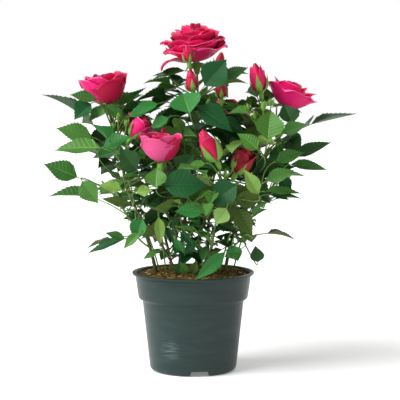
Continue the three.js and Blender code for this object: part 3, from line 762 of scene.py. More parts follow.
# Leaves that lie open to the front: stem, share of it, root and point of the blade, azimuth and
# elevation that its upper face looks towards, width as a share of the length, and tint
openLeaves = [
    ("bud_left", 0.35, (-28, -84, 189), (14, -84, 192), (262, 14), 0.64, "forest"),
    ("middle", 0.5, (11, -86, 165), (-17, -86, 165), (270, 30), 0.6, "fern"),
    ("middle", 0.8, (41, -78, 189), (13, -78, 171), (275, 16), 0.76, "forest"),
    ("bud_front", 0.35, (31, -88, 168), (21, -90, 153), (270, 10), 0.9, "palest"),
    ("bud_front", 0.4, (9, -110, 173), (11.5, -138.6, 167.4), (270, 70), 0.56, "fresh"),
    ("bud_front", 0.4, (9, -108, 173), (-6, -119, 170), (262, 70), 0.55, "mid"),
    ("top", 0.45, (-3, -72, 255), (-10, -46, 276), (255, 38), 0.9, "fern"),
    ("top", 0.5, (4, -60, 261), (38, -66, 240), (285, 35), 0.62, "forest"),
    ("top", 0.7, (11, -48, 280), (32, -44, 305), (285, 22), 0.84, "forest"),
    ("top", 0.72, (30, -30, 286), (52, -34, 298), (290, 40), 0.55, "dark"),
    ("bud_left", 0.5, (-52, -66, 202), (-69, -66, 221), (255, 12), 0.85, "dark"),
    ("front", 0.45, (-34, -88, 187), (-34, -80, 206), (265, 22), 1.0, "bright"),
    ("bud_left", 0.4, (-39, -80, 184), (-53, -80, 182), (265, 20), 0.75, "pale"),
    ("left", 0.75, (-92, -30, 266), (-117, -34, 272), (262, 42), 0.55, "mid"),
    ("left", 0.65, (-97, -34, 263), (-113, -40, 249), (250, 20), 0.9, "forest"),
    ("left", 0.42, (-96, -36, 231), (-130, -40, 240), (262, 30), 0.55, "fresh"),
    ("lowleft", 0.2, (-86, -60, 222), (-131, -52, 224), (268, 52), 0.5, "bright"),
    ("left", 0.3, (-84, -58, 223), (-58, -60, 234), (255, 42), 0.62, "fern"),
    ("lowleft", 0.8, (-105, -50, 190), (-90, -56, 169), (250, 20), 0.75, "fresh"),
    ("bud_left", 0.25, (-66, -70, 183), (-88, -70, 189), (262, 40), 0.6, "pale"),
    ("bud_right", 0.42, (70, -66, 230), (73, -58, 259), (275, 18), 0.92, "bright"),
    ("right", 0.6, (94, -44, 244), (87, -38, 263), (280, 20), 0.95, "dark"),
    ("right", 0.5, (85, -50, 235), (106, -52, 246), (290, 40), 0.65, "mid"),
    ("bud_right", 0.3, (61, -74, 221), (43, -76, 238), (270, 25), 0.62, "bright"),
    ("lowright", 0.6, (78, -54, 209), (105, -52, 218), (275, 30), 0.5, "mid"),
    ("lowright", 0.6, (69, -62, 191), (95, -60, 203), (270, 34), 0.52, "fresh"),
    ("right", 0.42, (97, -30, 212), (132, -28, 229), (275, 40), 0.36, "dark"),
    ("lowright", 0.93, (93, -36, 205), (129, -36, 203), (270, 42), 0.36, "mid"),
    ("lowright", 0.45, (68, -56, 181), (103, -54, 180), (270, 52), 0.32, "fresh"),
    ("lowright", 0.3, (73, -50, 177), (92, -50, 173), (270, 50), 0.42, "forest"),
    ("right", 0.45, (84, -40, 226), (103, -42, 235), (270, 66), 0.32, "deep"),
    ("top", 0.45, (27, -40, 249), (51, -42, 235), (280, 35), 0.55, "deep"),
    ("bud_right", 0.55, (56, -46, 256), (33, -46, 257), (270, 50), 0.5, "bright"),
    ("top", 0.55, (-33, -40, 263), (-60, -42, 252), (262, 40), 0.5, "fern"),
    ("top", 0.42, (-23, -45, 250), (-41, -46, 240), (262, 35), 0.6, "fern"),
    ("lowright", 0.75, (84, -40, 193), (93, -44, 179), (270, 10), 0.8, "deep"),
    ("middle", 0.7, (61, -80, 180), (47, -84, 203), (280, 12), 0.52, "pale"),
    ("twig_right", 0.7, (62, -44, 112), (60, -46, 128), (270, 15), 0.85, "dark"),
    ("twig_right", 0.5, (44, -60, 126), (30, -62, 119), (270, 20), 0.9, "mid"),
    ("bud_left", 0.08, (-47, -64, 156), (-56, -66, 135), (255, 15), 0.75, "fern"),
    ("lowleft", 0.1, (-50, -70, 143), (-66, -72, 129), (262, 25), 0.45, "bright"),
    ("front", 0.2, (-32, -78, 159), (-30, -80, 133), (285, 12), 0.4, "pale"),
    ("front", 0.7, (-14, -72, 200), (1, -72, 217), (265, 20), 0.85, "dark"),
    ("bud_front", 0.75, (12, -80, 209), (-6, -82, 206), (268, 40), 0.5, "bright"),
    ("lowleft", 0.9, (-110, -40, 193), (-141, -44, 207), (262, 30), 0.62, "mid"),
    ("lowleft", 0.7, (-64, -55, 191), (-90, -57, 180), (262, 35), 0.4, "fresh"),
    ("lowleft", 0.5, (-58, -55, 167), (-86, -55, 176), (262, 35), 0.38, "olive"),
    ("bud_left", 0.4, (-52, -60, 184), (-40, -62, 183), (265, 30), 0.6, "pale"),
    ("bud_left", 0.45, (-50, -55, 195), (-66, -57, 197), (265, 40), 0.36, "fresh"),
    ("twig_left", 0.8, (-65, -40, 134), (-84, -42, 140), (262, 35), 0.45, "mid"),
    ("twig_left", 0.9, (-66, -34, 133), (-103, -30, 121), (262, 45), 0.27, "forest"),
    ("left", 0.6, (-61, -40, 251), (-31, -44, 263), (270, 40), 0.38, "fern"),
    ("top", 0.84, (-8, -12, 294), (-40, -8, 290), (265, 50), 0.36, "dark"),
    ("top", 0.8, (-9, -8, 286), (-28, -8, 288), (265, 40), 0.35, "forest"),
    ("twig_front", 0.6, (-12, -60, 143), (0, -62, 131), (270, 15), 0.5, "forest"),
    ("twig_front", 0.4, (-17, -60, 136), (-9, -62, 123), (270, 15), 0.5, "fern"),
    ("front", 0.15, (-17, -50, 157), (-22, -50, 144), (270, 20), 0.6, "dark"),
    ("front", 0.1, (-23, -52, 146), (-20, -52, 133), (260, 20), 0.6, "deep"),
    ("bud_front", 0.1, (22, -45, 150), (42, -45, 141), (275, 30), 0.5, "dark"),
    ("middle", 0.2, (53, -45, 149), (44, -45, 137), (270, 20), 0.6, "mid"),
    ("lowright", 0.1, (43, -50, 153), (61, -50, 151), (270, 40), 0.36, "fresh"),
    ("twig_right", 0.5, (39, -60, 130), (42, -62, 115), (270, 15), 0.8, "fern"),
    ("cane_right", 0.5, (30, -62, 124), (2, -70, 99), (300, 20), 0.36, "fern"),
    ("cane_front", 0.2, (-6, -42, 101), (-12, -48, 113), (270, 20), 0.6, "fresh"),
    ("cane_front", 0.2, (0, -42, 101), (3, -50, 114), (270, 20), 0.6, "olive"),
    ("cane_front", 0.2, (-10, -36, 102), (-22, -42, 107), (270, 30), 0.5, "mid"),
    ("cane_middle", 0.5, (12, -46, 128), (9, -50, 113), (270, 15), 0.6, "mid"),
    ("cane_front", 0.5, (2, -52, 132), (-8, -54, 120), (265, 20), 0.55, "forest"),
    ("cane_green", 0.4, (-34, -44, 122), (-48, -46, 116), (262, 35), 0.45, "fresh"),
    ("left", 0.8, (-83, -32, 262), (-63, -36, 246), (280, 35), 0.5, "mid"),
    ("left", 0.75, (-86, -30, 260), (-100, -36, 247), (255, 30), 0.55, "mid"),
]

# Their form; bend: how far before the blade's root its stalk turns into line with it
openBlade = {"fold": 0.2, "arch": 0.08, "bend": 0.3}

finer = {
    "clearance": 0.7,
    "drawn": 0.9,  # leaflets against the source's, which are fewer and larger than life
    # how far from the middle leaves may stand at these heights
    "heights": (96, 130, 150, 190, 240, 270, 290, 310),
    "reaches": (50, 57, 70, 98, 118, 106, 62, 24),
    "sourceReach": 1.1,  # how much further the source's own leaves may
    "leadReach": 1.05,
    "shrinks": (1, 0.8, 0.64, 0.5, 0.4),  # sizes tried for a leaf of the source that reaches too far
    "depth": 1.2,  # reach to the front and back against that to the sides
}

# More leaves, in rounds: how many on each stem, from where to where on it, their vigour, and the azimuth
# of the first against the source's, or for thin shoots and canes from one to the next
rounds = {
    "shoots": [
        {"leaves": 13, "span": (growth["boughEnd"], 0.9), "vigour": 0.8, "turn": 70},
        {"leaves": 13, "span": (growth["boughEnd"], 0.9), "vigour": 0.66, "turn": 205},
        {"leaves": 13, "span": (0.08, 0.9), "vigour": 0.52, "turn": 330},
    ],
    "twigs": {"leaves": 5, "span": (0.3, 1), "vigour": 0.6, "turn": 180},
    "thinShoots": {"leaves": 7, "span": (0.15, 1.05), "vigour": 0.46, "turn": 90},
    "canes": {"leaves": 6, "span": (0.15, 0.95), "vigour": 0.46, "turn": 130},
    "finerTwigs": {"leaves": 4, "span": (0.4, 1.1), "vigour": 0.6, "turn": 90},
}

finerTwig = {
    "count": 6,  # on each shoot
    "span": (0.15, 0.85),
    "spread": (0.2, 0.8),
    "rises": (15, 50),
    "length": (20, 34),
    "lift": 5,  # how much its tip stands higher than it first looks
    "endRise": 60,
}

# Thin shoots straight from the peat, finer than the source's canes: foot and tip
thinShoots = [
    ((-6, -26), (-14, -46, 172)),
    ((12, -30), (24, -52, 160)),
    ((24, -22), (42, -44, 156)),
    ((-26, -14), (-34, -42, 164)),
    ((2, -8), (14, -22, 166)),
    ((38, 6), (60, 0, 160)),
    ((-32, 10), (-54, 14, 152)),
    ((4, 32), (-8, 46, 160)),
]

# More buds than the source has: stem, share of it, base of the bud, and where it looks
moreBuds = byName(
    ("stem", "at", "tip", "face", "kind", "size", "spin"),
    [
        ("bud_under", "top", 0.8, (-4, -37, 303), (235, 76), "bud", 5.4, 80),
        ("bud_small", "front", 0.62, (-27, -44, 233), (260, 60), "bud", 3, 0),
    ],
)
moreStalks = {}
for name, bud in moreBuds.items():
    stem = stemCurves[bud["stem"]]
    start, heading = stem.point(bud["at"]), stem.tangent(bud["at"])
    moreStalks[name] = shootCurve(start, heading, vector(*bud["tip"]), direction(*bud["face"]))

# Every limb by name, and the cane that it stands on
caneLimbs = {"cane_" + name: curve for name, curve in caneCurves.items()}
limbs = {**stemCurves, **sideCurves, **moreStalks, **caneLimbs}
caneOf = {"cane_" + name: name for name in canes}
caneOf.update({name: spec["cane"] for name, spec in {**shoots, **twigs}.items()})


def insideCrown(points, further=1):
    limit = np.interp(points[:, 2], finer["heights"], finer["reaches"]) * further
    return bool((np.hypot(points[:, 0], points[:, 1] / finer["depth"]) < limit).all())


# Blooms with no leaf in front of them: how far along lies the middle kept clear, and how wide it is,
# as shares of the bloom's size
clearBlooms = {
    "left": (0.7, 0.9),
    "front": (0.7, 0.9),
    "right": (0.7, 0.9),
    "bud_front": (0.9, 1.7),
    "bud_dark": (1, 1.9),
}


def hidesBloom(made):
    for name, (forward, wide) in clearBlooms.items():
        bloom, curve = blooms[name], limbs[name]
        middle = curve.point(1) + curve.tangent(1) * bloom["size"] * forward
        for blade in made["blades"]:
            away = alongBlade(blade, 0.5) - middle
            if away[1] < 0 and math.hypot(away[0], away[2]) < bloom["size"] * wide:
                return True
    return False


# Places where the crown is open when looked at from the front: x, z and how wide
openPlaces = [
    (-102, 205, 11),
    (-94, 196, 7),
    (108, 226, 9),
    (25, 190, 8),
    (44, 265, 6),
    (-34, 247, 5),
    (-6, 182, 5),
]


def inOpenPlace(blade):
    for x, z, wide in openPlaces:
        for share in (0.25, 0.5, 0.75):
            spot = alongBlade(blade, share)
            if math.hypot(spot[0] - x, spot[2] - z) < wide:
                return True
    return False


def alongBlade(blade, share):
    return blade["root"] + blade["forward"] * blade["length"] * share


def tipsOf(made):
    return np.array([alongBlade(blade, 1) for blade in made["blades"]])


def openLeaf(stem, at, root, tip, facing, width, tint):
    origin, root, tip = limbs[stem].point(at), vector(*root), vector(*tip)
    length = np.linalg.norm(tip - root)
    forward = unit(tip - root)
    aside = unit(np.cross(forward, direction(*facing)))
    bend = root - forward * np.linalg.norm(root - origin) * openBlade["bend"]
    blade = {
        "root": root,
        "forward": forward,
        "aside": aside,
        "above": np.cross(aside, forward),
        "length": length,
        "half": length * width / 2,
        "fold": openBlade["fold"],
        "arch": openBlade["arch"],
        "place": 1,
    }
    return {"origin": origin, "rachis": Curve(origin, bend, root), "blades": [blade], "tint": tint}


def sized(blade, share):
    return {**blade, "length": blade["length"] * share, "half": blade["half"] * share}


def drawnIn(made):
    # A leaf that reaches past the crown is made smaller
    origin, rachis = made["origin"], made["rachis"]
    for share in finer["shrinks"]:
        blades = []
        for blade in made["blades"]:
            root = origin + (blade["root"] - origin) * share
            blades.append({**sized(blade, share), "root": root})
        smaller = Curve(*(origin + (rachis.controls - origin) * share))
        drawn = {**made, "rachis": smaller, "blades": blades}
        if not blades or insideCrown(tipsOf(drawn), finer["sourceReach"]):
            return drawn
    return {**made, "blades": []}


def fitSourceLeaf(made, opened):
    # Leaves of the source make room for the blooms, the open places and the leaves at the front
    if hidesBloom(made):
        made["blades"] = []
    if made.get("leads"):
        sides, last, further = made["blades"][:-1], made["blades"][-1:], finer["leadReach"]
        made["blades"] = [side for side in sides if insideCrown(alongBlade(side, 1)[None], further)] + last
    else:
        made["blades"] = [sized(blade, finer["drawn"]) for blade in made["blades"]]
        made.update(drawnIn(made))
    made["blades"] = [
        blade
        for blade in made["blades"]
        if not inOpenPlace(blade)
        and not any(opened.touches(other, bladeSpots(blade), room["bladeSpot"]) for other in opened.blades)
    ]


def fits(made):
    # Whether a finer leaf stays inside the crown and hides nothing that is kept open
    if hidesBloom(made) or any(inOpenPlace(blade) for blade in made["blades"]):
        return False
    return insideCrown(tipsOf(made))


finerTwigs = []


def fillIn(crown, name, curve, rule, turn, seed):
    # A round of finer leaves along a limb, kept with those of the named stem
    grown = growLeaves(crown, curve, *rule["span"], rule["leaves"], turn, seed, rule["vigour"], fits)
    leavesOn.setdefault(name, []).extend(grown)
    return grown


def growFinerTwig(crown, name, i, seed):
    draw = makeDraw(seed)
    curve, rule = limbs[name], rounds["finerTwigs"]
    at = mix(*finerTwig["span"], (i + draw(*finerTwig["spread"])) / finerTwig["count"])
    start, azimuth = curve.point(at), draw(0, 360)
    heading = direction(azimuth, draw(*finerTwig["rises"]))
    tip = start + heading * draw(*finerTwig["length"]) + vector(0, 0, finerTwig["lift"])
    twig = shootCurve(start, heading, tip, direction(azimuth, finerTwig["endRise"]))
    if fillIn(crown, name, twig, rule, azimuth + rule["turn"], seed):
        finerTwigs.append(twig)
        crown.markCurve(twig, 0, 1, thinRadius)


def growFiner():
    # Opens the front, sets the source's leaves round it, then fills in with smaller leaves and finer twigs
    crown = Room(finer["clearance"])
    markLimbs(crown)
    for spec in openLeaves:
        made = openLeaf(*spec)
        crown.settle(made)
        leavesOn.setdefault(spec[0], []).append(made)
    opened = Room(finer["clearance"])
    opened.blades = list(crown.blades)
    for made in [made for grown in leavesOn.values() for made in grown if "tint" not in made]:
        fitSourceLeaf(made, opened)
        crown.settle(made)
    seeds = itertools.count(firstSeed["finer"])
    for rule in rounds["shoots"]:
        for name, spec in shoots.items():
            fillIn(crown, name, limbs[name], rule, spec["turn"] + rule["turn"], next(seeds))
    for name, spec in twigs.items():
        rule = rounds["twigs"]
        fillIn(crown, name, limbs[name], rule, spec["turn"] + rule["turn"], next(seeds))
    for i, (foot, tip) in enumerate(thinShoots):
        finerTwigs.append(caneCurve(foot, tip))
        rule = rounds["thinShoots"]
        fillIn(crown, "twig_front", finerTwigs[-1], rule, rule["turn"] * i, next(seeds))
    for i, (name, curve) in enumerate(caneLimbs.items()):
        rule = rounds["canes"]
        fillIn(crown, name, curve, rule, rule["turn"] * i, next(seeds))
    for name in shoots:
        for i in range(finerTwig["count"]):
            growFinerTwig(crown, name, i, next(seeds))


growFiner()
allLeaves = [made for grown in leavesOn.values() for made in grown]
bladeCount = sum(len(made["blades"]) for made in allLeaves)
print("leaves in all:", len(allLeaves), "with", bladeCount, "leaflets, and", len(finerTwigs), "finer twigs")

# Half-glossy upper faces of rose leaves: waxy, so that they take a soft sheen, with a fine net of veins.
# Each spray has one plain green.
leafTints = {
    "deep": "#153c1c",
    "forest": "#185026",
    "dark": "#23461c",
    "fern": "#2a7030",
    "mid": "#376328",
    "fresh": "#477530",
    "bright": "#44742c",
    "pale": "#779848",
    "palest": "#8cae60",
    "olive": "#4c6026",
}
# Veins by group of tints: the midrib, then the side veins
veinTints = {
    "dark": "#3d6a34",
    "darkSide": "#1d4c28",
    "middle": "#68954a",
    "middleSide": "#357536",
    "light": "#84b05c",
    "lightSide": "#5e9040",
}
tintGroups = (("deep", "forest", "dark", "olive"), ("fern", "mid", "fresh"), ("bright", "pale", "palest"))

leafletShape = {
    "veins": 9,  # on each side; each ends in a tooth
    "veinWidth": 0.14,  # share of the distance between two of them
    "columns": 6,
    "outline": (2.56, 0.42, 1.26),  # width, and how it swells from the root and narrows to the point
    "halfway": 0.55,  # where the middle column stands between midrib and edge
    "midrib": 0.035,  # half its width, as a share of the blade's half width
    "sweep": 0.24,  # how far the side veins run towards the point
    "tooth": 0.045,
    "quilting": 0.3,  # how far the blade swells between its side veins, mm
    "midribSunk": 0.3,
    "curl": 0.1,
    "curls": (-0.4, 1),
    "waves": (0.2, 0.9),  # height of the waves at the edge, mm
    "waveLengths": (9, 14),
    "sickle": (-0.05, 0.05),  # how far the point leans aside
    "folds": (0.05, 0.32),  # how much more each half stands up than the source's
    "crease": 11,
}


def leafletTemplate():
    # A flat leaflet as shares along and across, with the height of its relief at each point
    rows, columns = 2 * leafletShape["veins"] + 1, leafletShape["columns"]
    shape = bmesh.new()
    bmesh.ops.create_grid(shape, x_segments=columns, y_segments=rows - 1, size=1)
    middle = columns // 2
    for face in shape.faces:
        centre = face.calc_center_median()
        onVein = int((centre.y + 1) / 2 * (rows - 1)) % 2
        face.material_index = 1 if abs(centre.x) < 2 / columns else 2 * onVein
    half = [leafletShape["midrib"], leafletShape["halfway"], 1]
    steps = [-step for step in reversed(half)] + [0] + half
    broad, swell, narrowing = leafletShape["outline"]
    for vert in shape.verts:
        column = round((vert.co.x + 1) / 2 * columns)
        pair, odd = divmod(round((vert.co.y + 1) / 2 * (rows - 1)), 2)
        share = (pair + odd * (1 - leafletShape["veinWidth"])) / leafletShape["veins"]
        across = steps[column]
        width = broad * max(0, share) ** swell * (1 - share) ** narrowing
        tooth = leafletShape["tooth"] * (1 if odd else -1) * (abs(across) == 1)
        relief = leafletShape["quilting"] * (0.5 if odd else -0.5) * (0.3 < abs(across))
        relief -= leafletShape["midribSunk"] * (column == middle)
        swept = leafletShape["sweep"] * abs(across) * (1 - share) * min(1, 6 * share)
        vert.co = (share + swept + tooth * 0.25 * (share > 0), across * width * (1 + tooth), relief)
    bmesh.ops.remove_doubles(shape, verts=shape.verts[:], dist=0.0001)
    bmesh.ops.recalc_face_normals(shape, faces=shape.faces[:])
    return asArrays(shape)


templatePoints, templateFaces, templateFinishes = leafletTemplate()


def leafletPoints(blade, draw):
    share, across, relief = templatePoints.T
    share = share / templatePoints[:, 0].max()
    sideways = across * blade["half"]
    points = onBlade(blade, share, sideways)
    edge = across**2
    high, along = draw(*leafletShape["waves"]), draw(*leafletShape["waveLengths"])
    wave = high * np.sin(share * along + np.sign(across) * draw(0, 3)) * edge
    bend = leafletShape["curl"] * draw(*leafletShape["curls"]) * blade["length"] * share**3
    folded = draw(*leafletShape["folds"]) * np.abs(sideways)
    points += np.multiply.outer(relief + wave + folded - bend, blade["above"])
    leaning = draw(*leafletShape["sickle"]) * blade["length"] * share**2
    return points + np.multiply.outer(leaning, blade["aside"])


# A spray's painted light: lighter tints the higher and further out it stands, darker ones low and deep in
# the crown as painted shade, and some chance
tintRule = {
    "height": 0.42,
    "heights": (100, 190),  # where the light starts to rise, and over how much it does, mm
    "reach": 0.5,
    "furthest": 120,
    "chance": (-0.22, 0.4),
    "young": 0.91,  # draws above this one make young sprays, and below the next one old ones
    "old": 0.08,
    "sunny": 0.5,
    "ladder": ("deep", "dark", "forest", "dark", "mid", "fern", "fresh", "fresh", "bright"),
    "leading": ("dark", "olive", "mid"),
}


def tintOf(made, draw):
    # Sprays inside and low in the crown are darker, a painted shade, and those high and at its edge paler, a
    # painted light; young ones are pale, palest at its edge, and old ones olive
    if made.get("leads"):
        return tintRule["leading"][int(draw(0, 3))]
    middle, ladder = tipsOf(made).mean(axis=0), tintRule["ladder"]
    lowest, rise = tintRule["heights"]
    # Painted light: the tint rises with the spray's height and with its reach from the middle
    light = tintRule["height"] * (middle[2] - lowest) / rise
    light += tintRule["reach"] * np.hypot(middle[0], middle[1]) / tintRule["furthest"]
    light += draw(*tintRule["chance"])
    young = draw(0, 1)
    if young > tintRule["young"]:
        return "palest" if light > tintRule["sunny"] else "pale"
    if young < tintRule["old"]:
        return "olive"
    return ladder[int(min(len(ladder) - 1, max(0, light * len(ladder))))]


# A waxy face, roughened by a fine net of veins
leafLook = {
    "surface": {"Specular_IOR_Level": 0.2},
    "roughness": {"leafWax_": 0.45, "leafVein_": 0.5},
    "grain": {"Scale": 620, "Detail": 3},
    "relief": (0.0003, 0.35),
}
leafMaterials = [
    grained(kind + tint, leafLook, Base_Color=colour(code), Roughness=leafLook["roughness"][kind])
    for kind, tints in (("leafWax_", leafTints), ("leafVein_", veinTints))
    for tint, code in tints.items()
]
tintNumbers = {tint: i for i, tint in enumerate(leafTints)}


def leafPieces():
    # One piece of leaflets for the stems of each cane
    byCane = {name: Gathering() for name in canes}
    nodesOf = {name: [] for name in canes}
    for stem, grown in leavesOn.items():
        if stem not in caneLimbs:
            nodesOf[caneOf[stem]].append("leaves_" + stem)
        for i, made in enumerate(grown):
            draw = makeDraw(len(stem) * 1000 + i * 17 + int(made["origin"][2]))
            if not made["blades"]:
                continue
            tint = made.get("tint") or tintOf(made, draw)
            vein = len(leafTints) + 2 * [tint in group for group in tintGroups].index(True)
            finishes = np.where(templateFinishes > 0, vein + templateFinishes - 1, tintNumbers[tint])
            for blade in made["blades"]:
                byCane[caneOf[stem]].add(leafletPoints(blade, draw), templateFaces, finishes)
    for cane, gathered in byCane.items():
        name = "leaves" + cane.capitalize()
        shown(name, gathered.mesh(name, leafMaterials, leafletShape["crease"]), nodesOf[cane])
        print(name, len(np.concatenate(gathered.faces)), "triangles")


leafPieces()

stems = {
    "slender": 0.8,  # radii against the source's, which are thick enough to print and to touch
    "caneSides": 12,
    "stemSides": 8,
    "ridge": 0.16,  # height of the bark's relief, mm
    "ridges": (1.1, 0.16),  # how close together across the limb and along it
    "knots": (0.7, 0.5),  # how close together, and how high against the ridges
    "step": 1.5,  # distance between rings on wood, and on young stems, mm
    "youngStep": 3,
    "rooted": 2,  # how far a cane's foot reaches down into the peat, mm
    "overlap": 0.005,  # how far a young stem starts inside its bough, as a share of the shoot
    "forkStart": 0.01,
    "twigStart": 0.02,
    "finerRadius": 0.9,
    "stalkSides": 6,
    "stalkSteps": 9,
    "stalks": (0.75, 0.6),  # size of the stalk of a leaf with several leaflets, and with one
    "stalkTaper": (1.25, 0.7),
}


def ringsAlong(curve, start, end, radiusAt, step):
    # Points along a limb with a radius at each
    rings = max(4, math.ceil(curve.length(20) * (end - start) / step))
    radii = np.array([radiusAt(share) for share in np.linspace(start, end, rings)])
    return curve.points(start, end, rings), radii * stems["slender"]


# Young rose bark: smooth olive skin, reddish brown where the sun reaches it, with lengthwise cracks
barkLook = {
    "surface": {"Roughness": 0.62},
    "grain": {"Scale": 260, "Detail": 4},
    "stretch": (1, 1, 0.18),
    "shades": [(0.3, "#2c3614"), (0.5, "#45531f"), (0.62, "#5c5c2e"), (0.75, "#43341c")],
    "relief": (0.0004, 0.6),
}
# Soft green skin of this year's wood, a little waxy
stemLook = {
    "surface": {"Roughness": 0.5},
    "grain": {"Scale": 420, "Detail": 3},
    "stretch": (1, 1, 0.3),
    "shades": [(0.35, "#446c2a"), (0.6, "#6d9240"), (0.8, "#74723a")],
    "relief": (0.0002, 0.4),
}
barkFinish, stemFinish = grained("roseBark", barkLook), grained("greenStem", stemLook)


def barked(mesh):
    # Lengthwise ridges and small knots, raised along the surface's own normals
    across, along = stems["ridges"]
    close, high = stems["knots"]
    for vert in mesh.vertices:
        x, y, z = vert.co / mm
        raised = noise.noise(Vector((x * across, y * across, z * along)))
        raised += high * noise.noise(Vector((x, y, z)) * close)
        vert.co += vert.normal * raised * stems["ridge"] * mm
    return mesh


def woodPiece():
    lines = []
    for name, curve in caneCurves.items():
        points, radii = ringsAlong(curve, 0, 1, caneRadii[name], stems["step"])
        points[0][2] -= stems["rooted"]
        lines.append((points, radii))
    for name, spec in shoots.items():
        start = 0 if spec["fork"] == 1 else stems["forkStart"]
        lines.append(ringsAlong(limbs[name], start, growth["boughEnd"], stemRadii[name], stems["step"]))
    mesh = barked(tubes("canes", lines, stems["caneSides"]))
    mesh.materials.append(barkFinish)
    nodes = ["cane_" + name for name in canes] + ["bough_" + name for name in shoots]
    shown("canes", mesh, nodes)


def stemPiece():
    start, step = growth["boughEnd"] - stems["overlap"], stems["youngStep"]
    finerRadius = radiusAlongShoot(stems["finerRadius"])
    lines = [ringsAlong(limbs[name], start, 1, stemRadii[name], step) for name in shoots]
    lines += [ringsAlong(limbs[name], stems["twigStart"], 1, thinRadius, step) for name in twigs]
    lines += [ringsAlong(curve, 0, 1, thinRadius, step) for curve in sideCurves.values()]
    lines += [ringsAlong(curve, 0, 1, finerRadius, step) for curve in finerTwigs]
    lines += [ringsAlong(curve, 0, 1, thinRadius, step) for curve in moreStalks.values()]
    mesh = tubes("youngStems", lines, stems["stemSides"])
    mesh.materials.append(stemFinish)
    shown("youngStems", mesh)


def stalkPiece():
    # Leaf stalks: the rachis of each leaf, out to the roots of its leaflets
    lines, steps = [], stems["stalkSteps"]
    several, single = stems["stalks"]
    thick, thin = stems["stalkTaper"]
    for made in allLeaves:
        if not made["blades"]:
            continue
        points = made["rachis"].points(0, max(blade["place"] for blade in made["blades"]), steps)
        size = several if len(made["blades"]) > 1 else single
        lines.append((points, np.linspace(size * thick, size * thin, steps)))
    mesh = tubes("leafStalks", lines, stems["stalkSides"])
    mesh.materials.append(stemFinish)
    shown("leafStalks", mesh)


prickle = {
    "count": 7,  # on each cane and bough
    "caneSpan": (0.12, 0.95),
    "boughSpan": (0.1, 0.8),
    "length": 3.4,
    "lengths": (0.6, 1.1),
    "base": (0.45, 0.3),  # along the limb and across it, as shares of the length
    "hook": 0.5,
    "sunk": 0.8,  # where it stands, as a share of the limb's radius
    "colour": "#8a6a45",
    "roughness": 0.45,
    "crease": 70,
}


def prickleTemplate():
    # A broad-based cone drawn down to a hooked point
    shape = bmesh.new()
    bmesh.ops.create_cone(shape, cap_ends=True, segments=8, radius1=1, radius2=0.05, depth=1)
    upright = [edge for edge in shape.edges if abs(edge.verts[0].co.z - edge.verts[1].co.z) > 0.5]
    bmesh.ops.subdivide_edges(shape, edges=upright, cuts=3)
    for vert in shape.verts:
        up = vert.co.z + 0.5
        vert.co = (vert.co.x * (1 - up) ** 0.6, vert.co.y * 0.55, up)
        vert.co.x -= prickle["hook"] * up * up
    return asArrays(shape)


def pricklePiece():
    points, faces, finishes = prickleTemplate()
    gathered = Gathering()
    grownOn = [(curve, caneRadii[name], prickle["caneSpan"]) for name, curve in caneCurves.items()]
    grownOn += [(stemCurves[name], stemRadii[name], prickle["boughSpan"]) for name in shoots]
    for number, (curve, radiusAt, span) in enumerate(grownOn):
        draw = makeDraw(firstSeed["prickles"] + number)
        for i in range(prickle["count"]):
            share = mix(*span, (i + draw(0.1, 0.9)) / prickle["count"])
            tangent = curve.tangent(share)
            out = unit(np.cross(tangent, direction(draw(0, 360), 0)))
            side = np.cross(out, tangent)
            length = prickle["length"] * draw(*prickle["lengths"])
            placed = curve.point(share) + out * radiusAt(share) * stems["slender"] * prickle["sunk"]
            along, aside = prickle["base"]
            grown = np.multiply.outer(points[:, 0] * length * along, tangent)
            grown += np.multiply.outer(points[:, 1] * length * aside, side)
            grown += np.multiply.outer(points[:, 2] * length, out)
            gathered.add(placed + grown, faces, finishes)
    settings = {"Base_Color": colour(prickle["colour"]), "Roughness": prickle["roughness"]}
    material = finish("prickleHorn", **settings)[0]
    shown("prickles", gathered.mesh("prickles", [material], prickle["crease"]))


woodPiece()
stemPiece()
stalkPiece()
pricklePiece()
print("stems made")
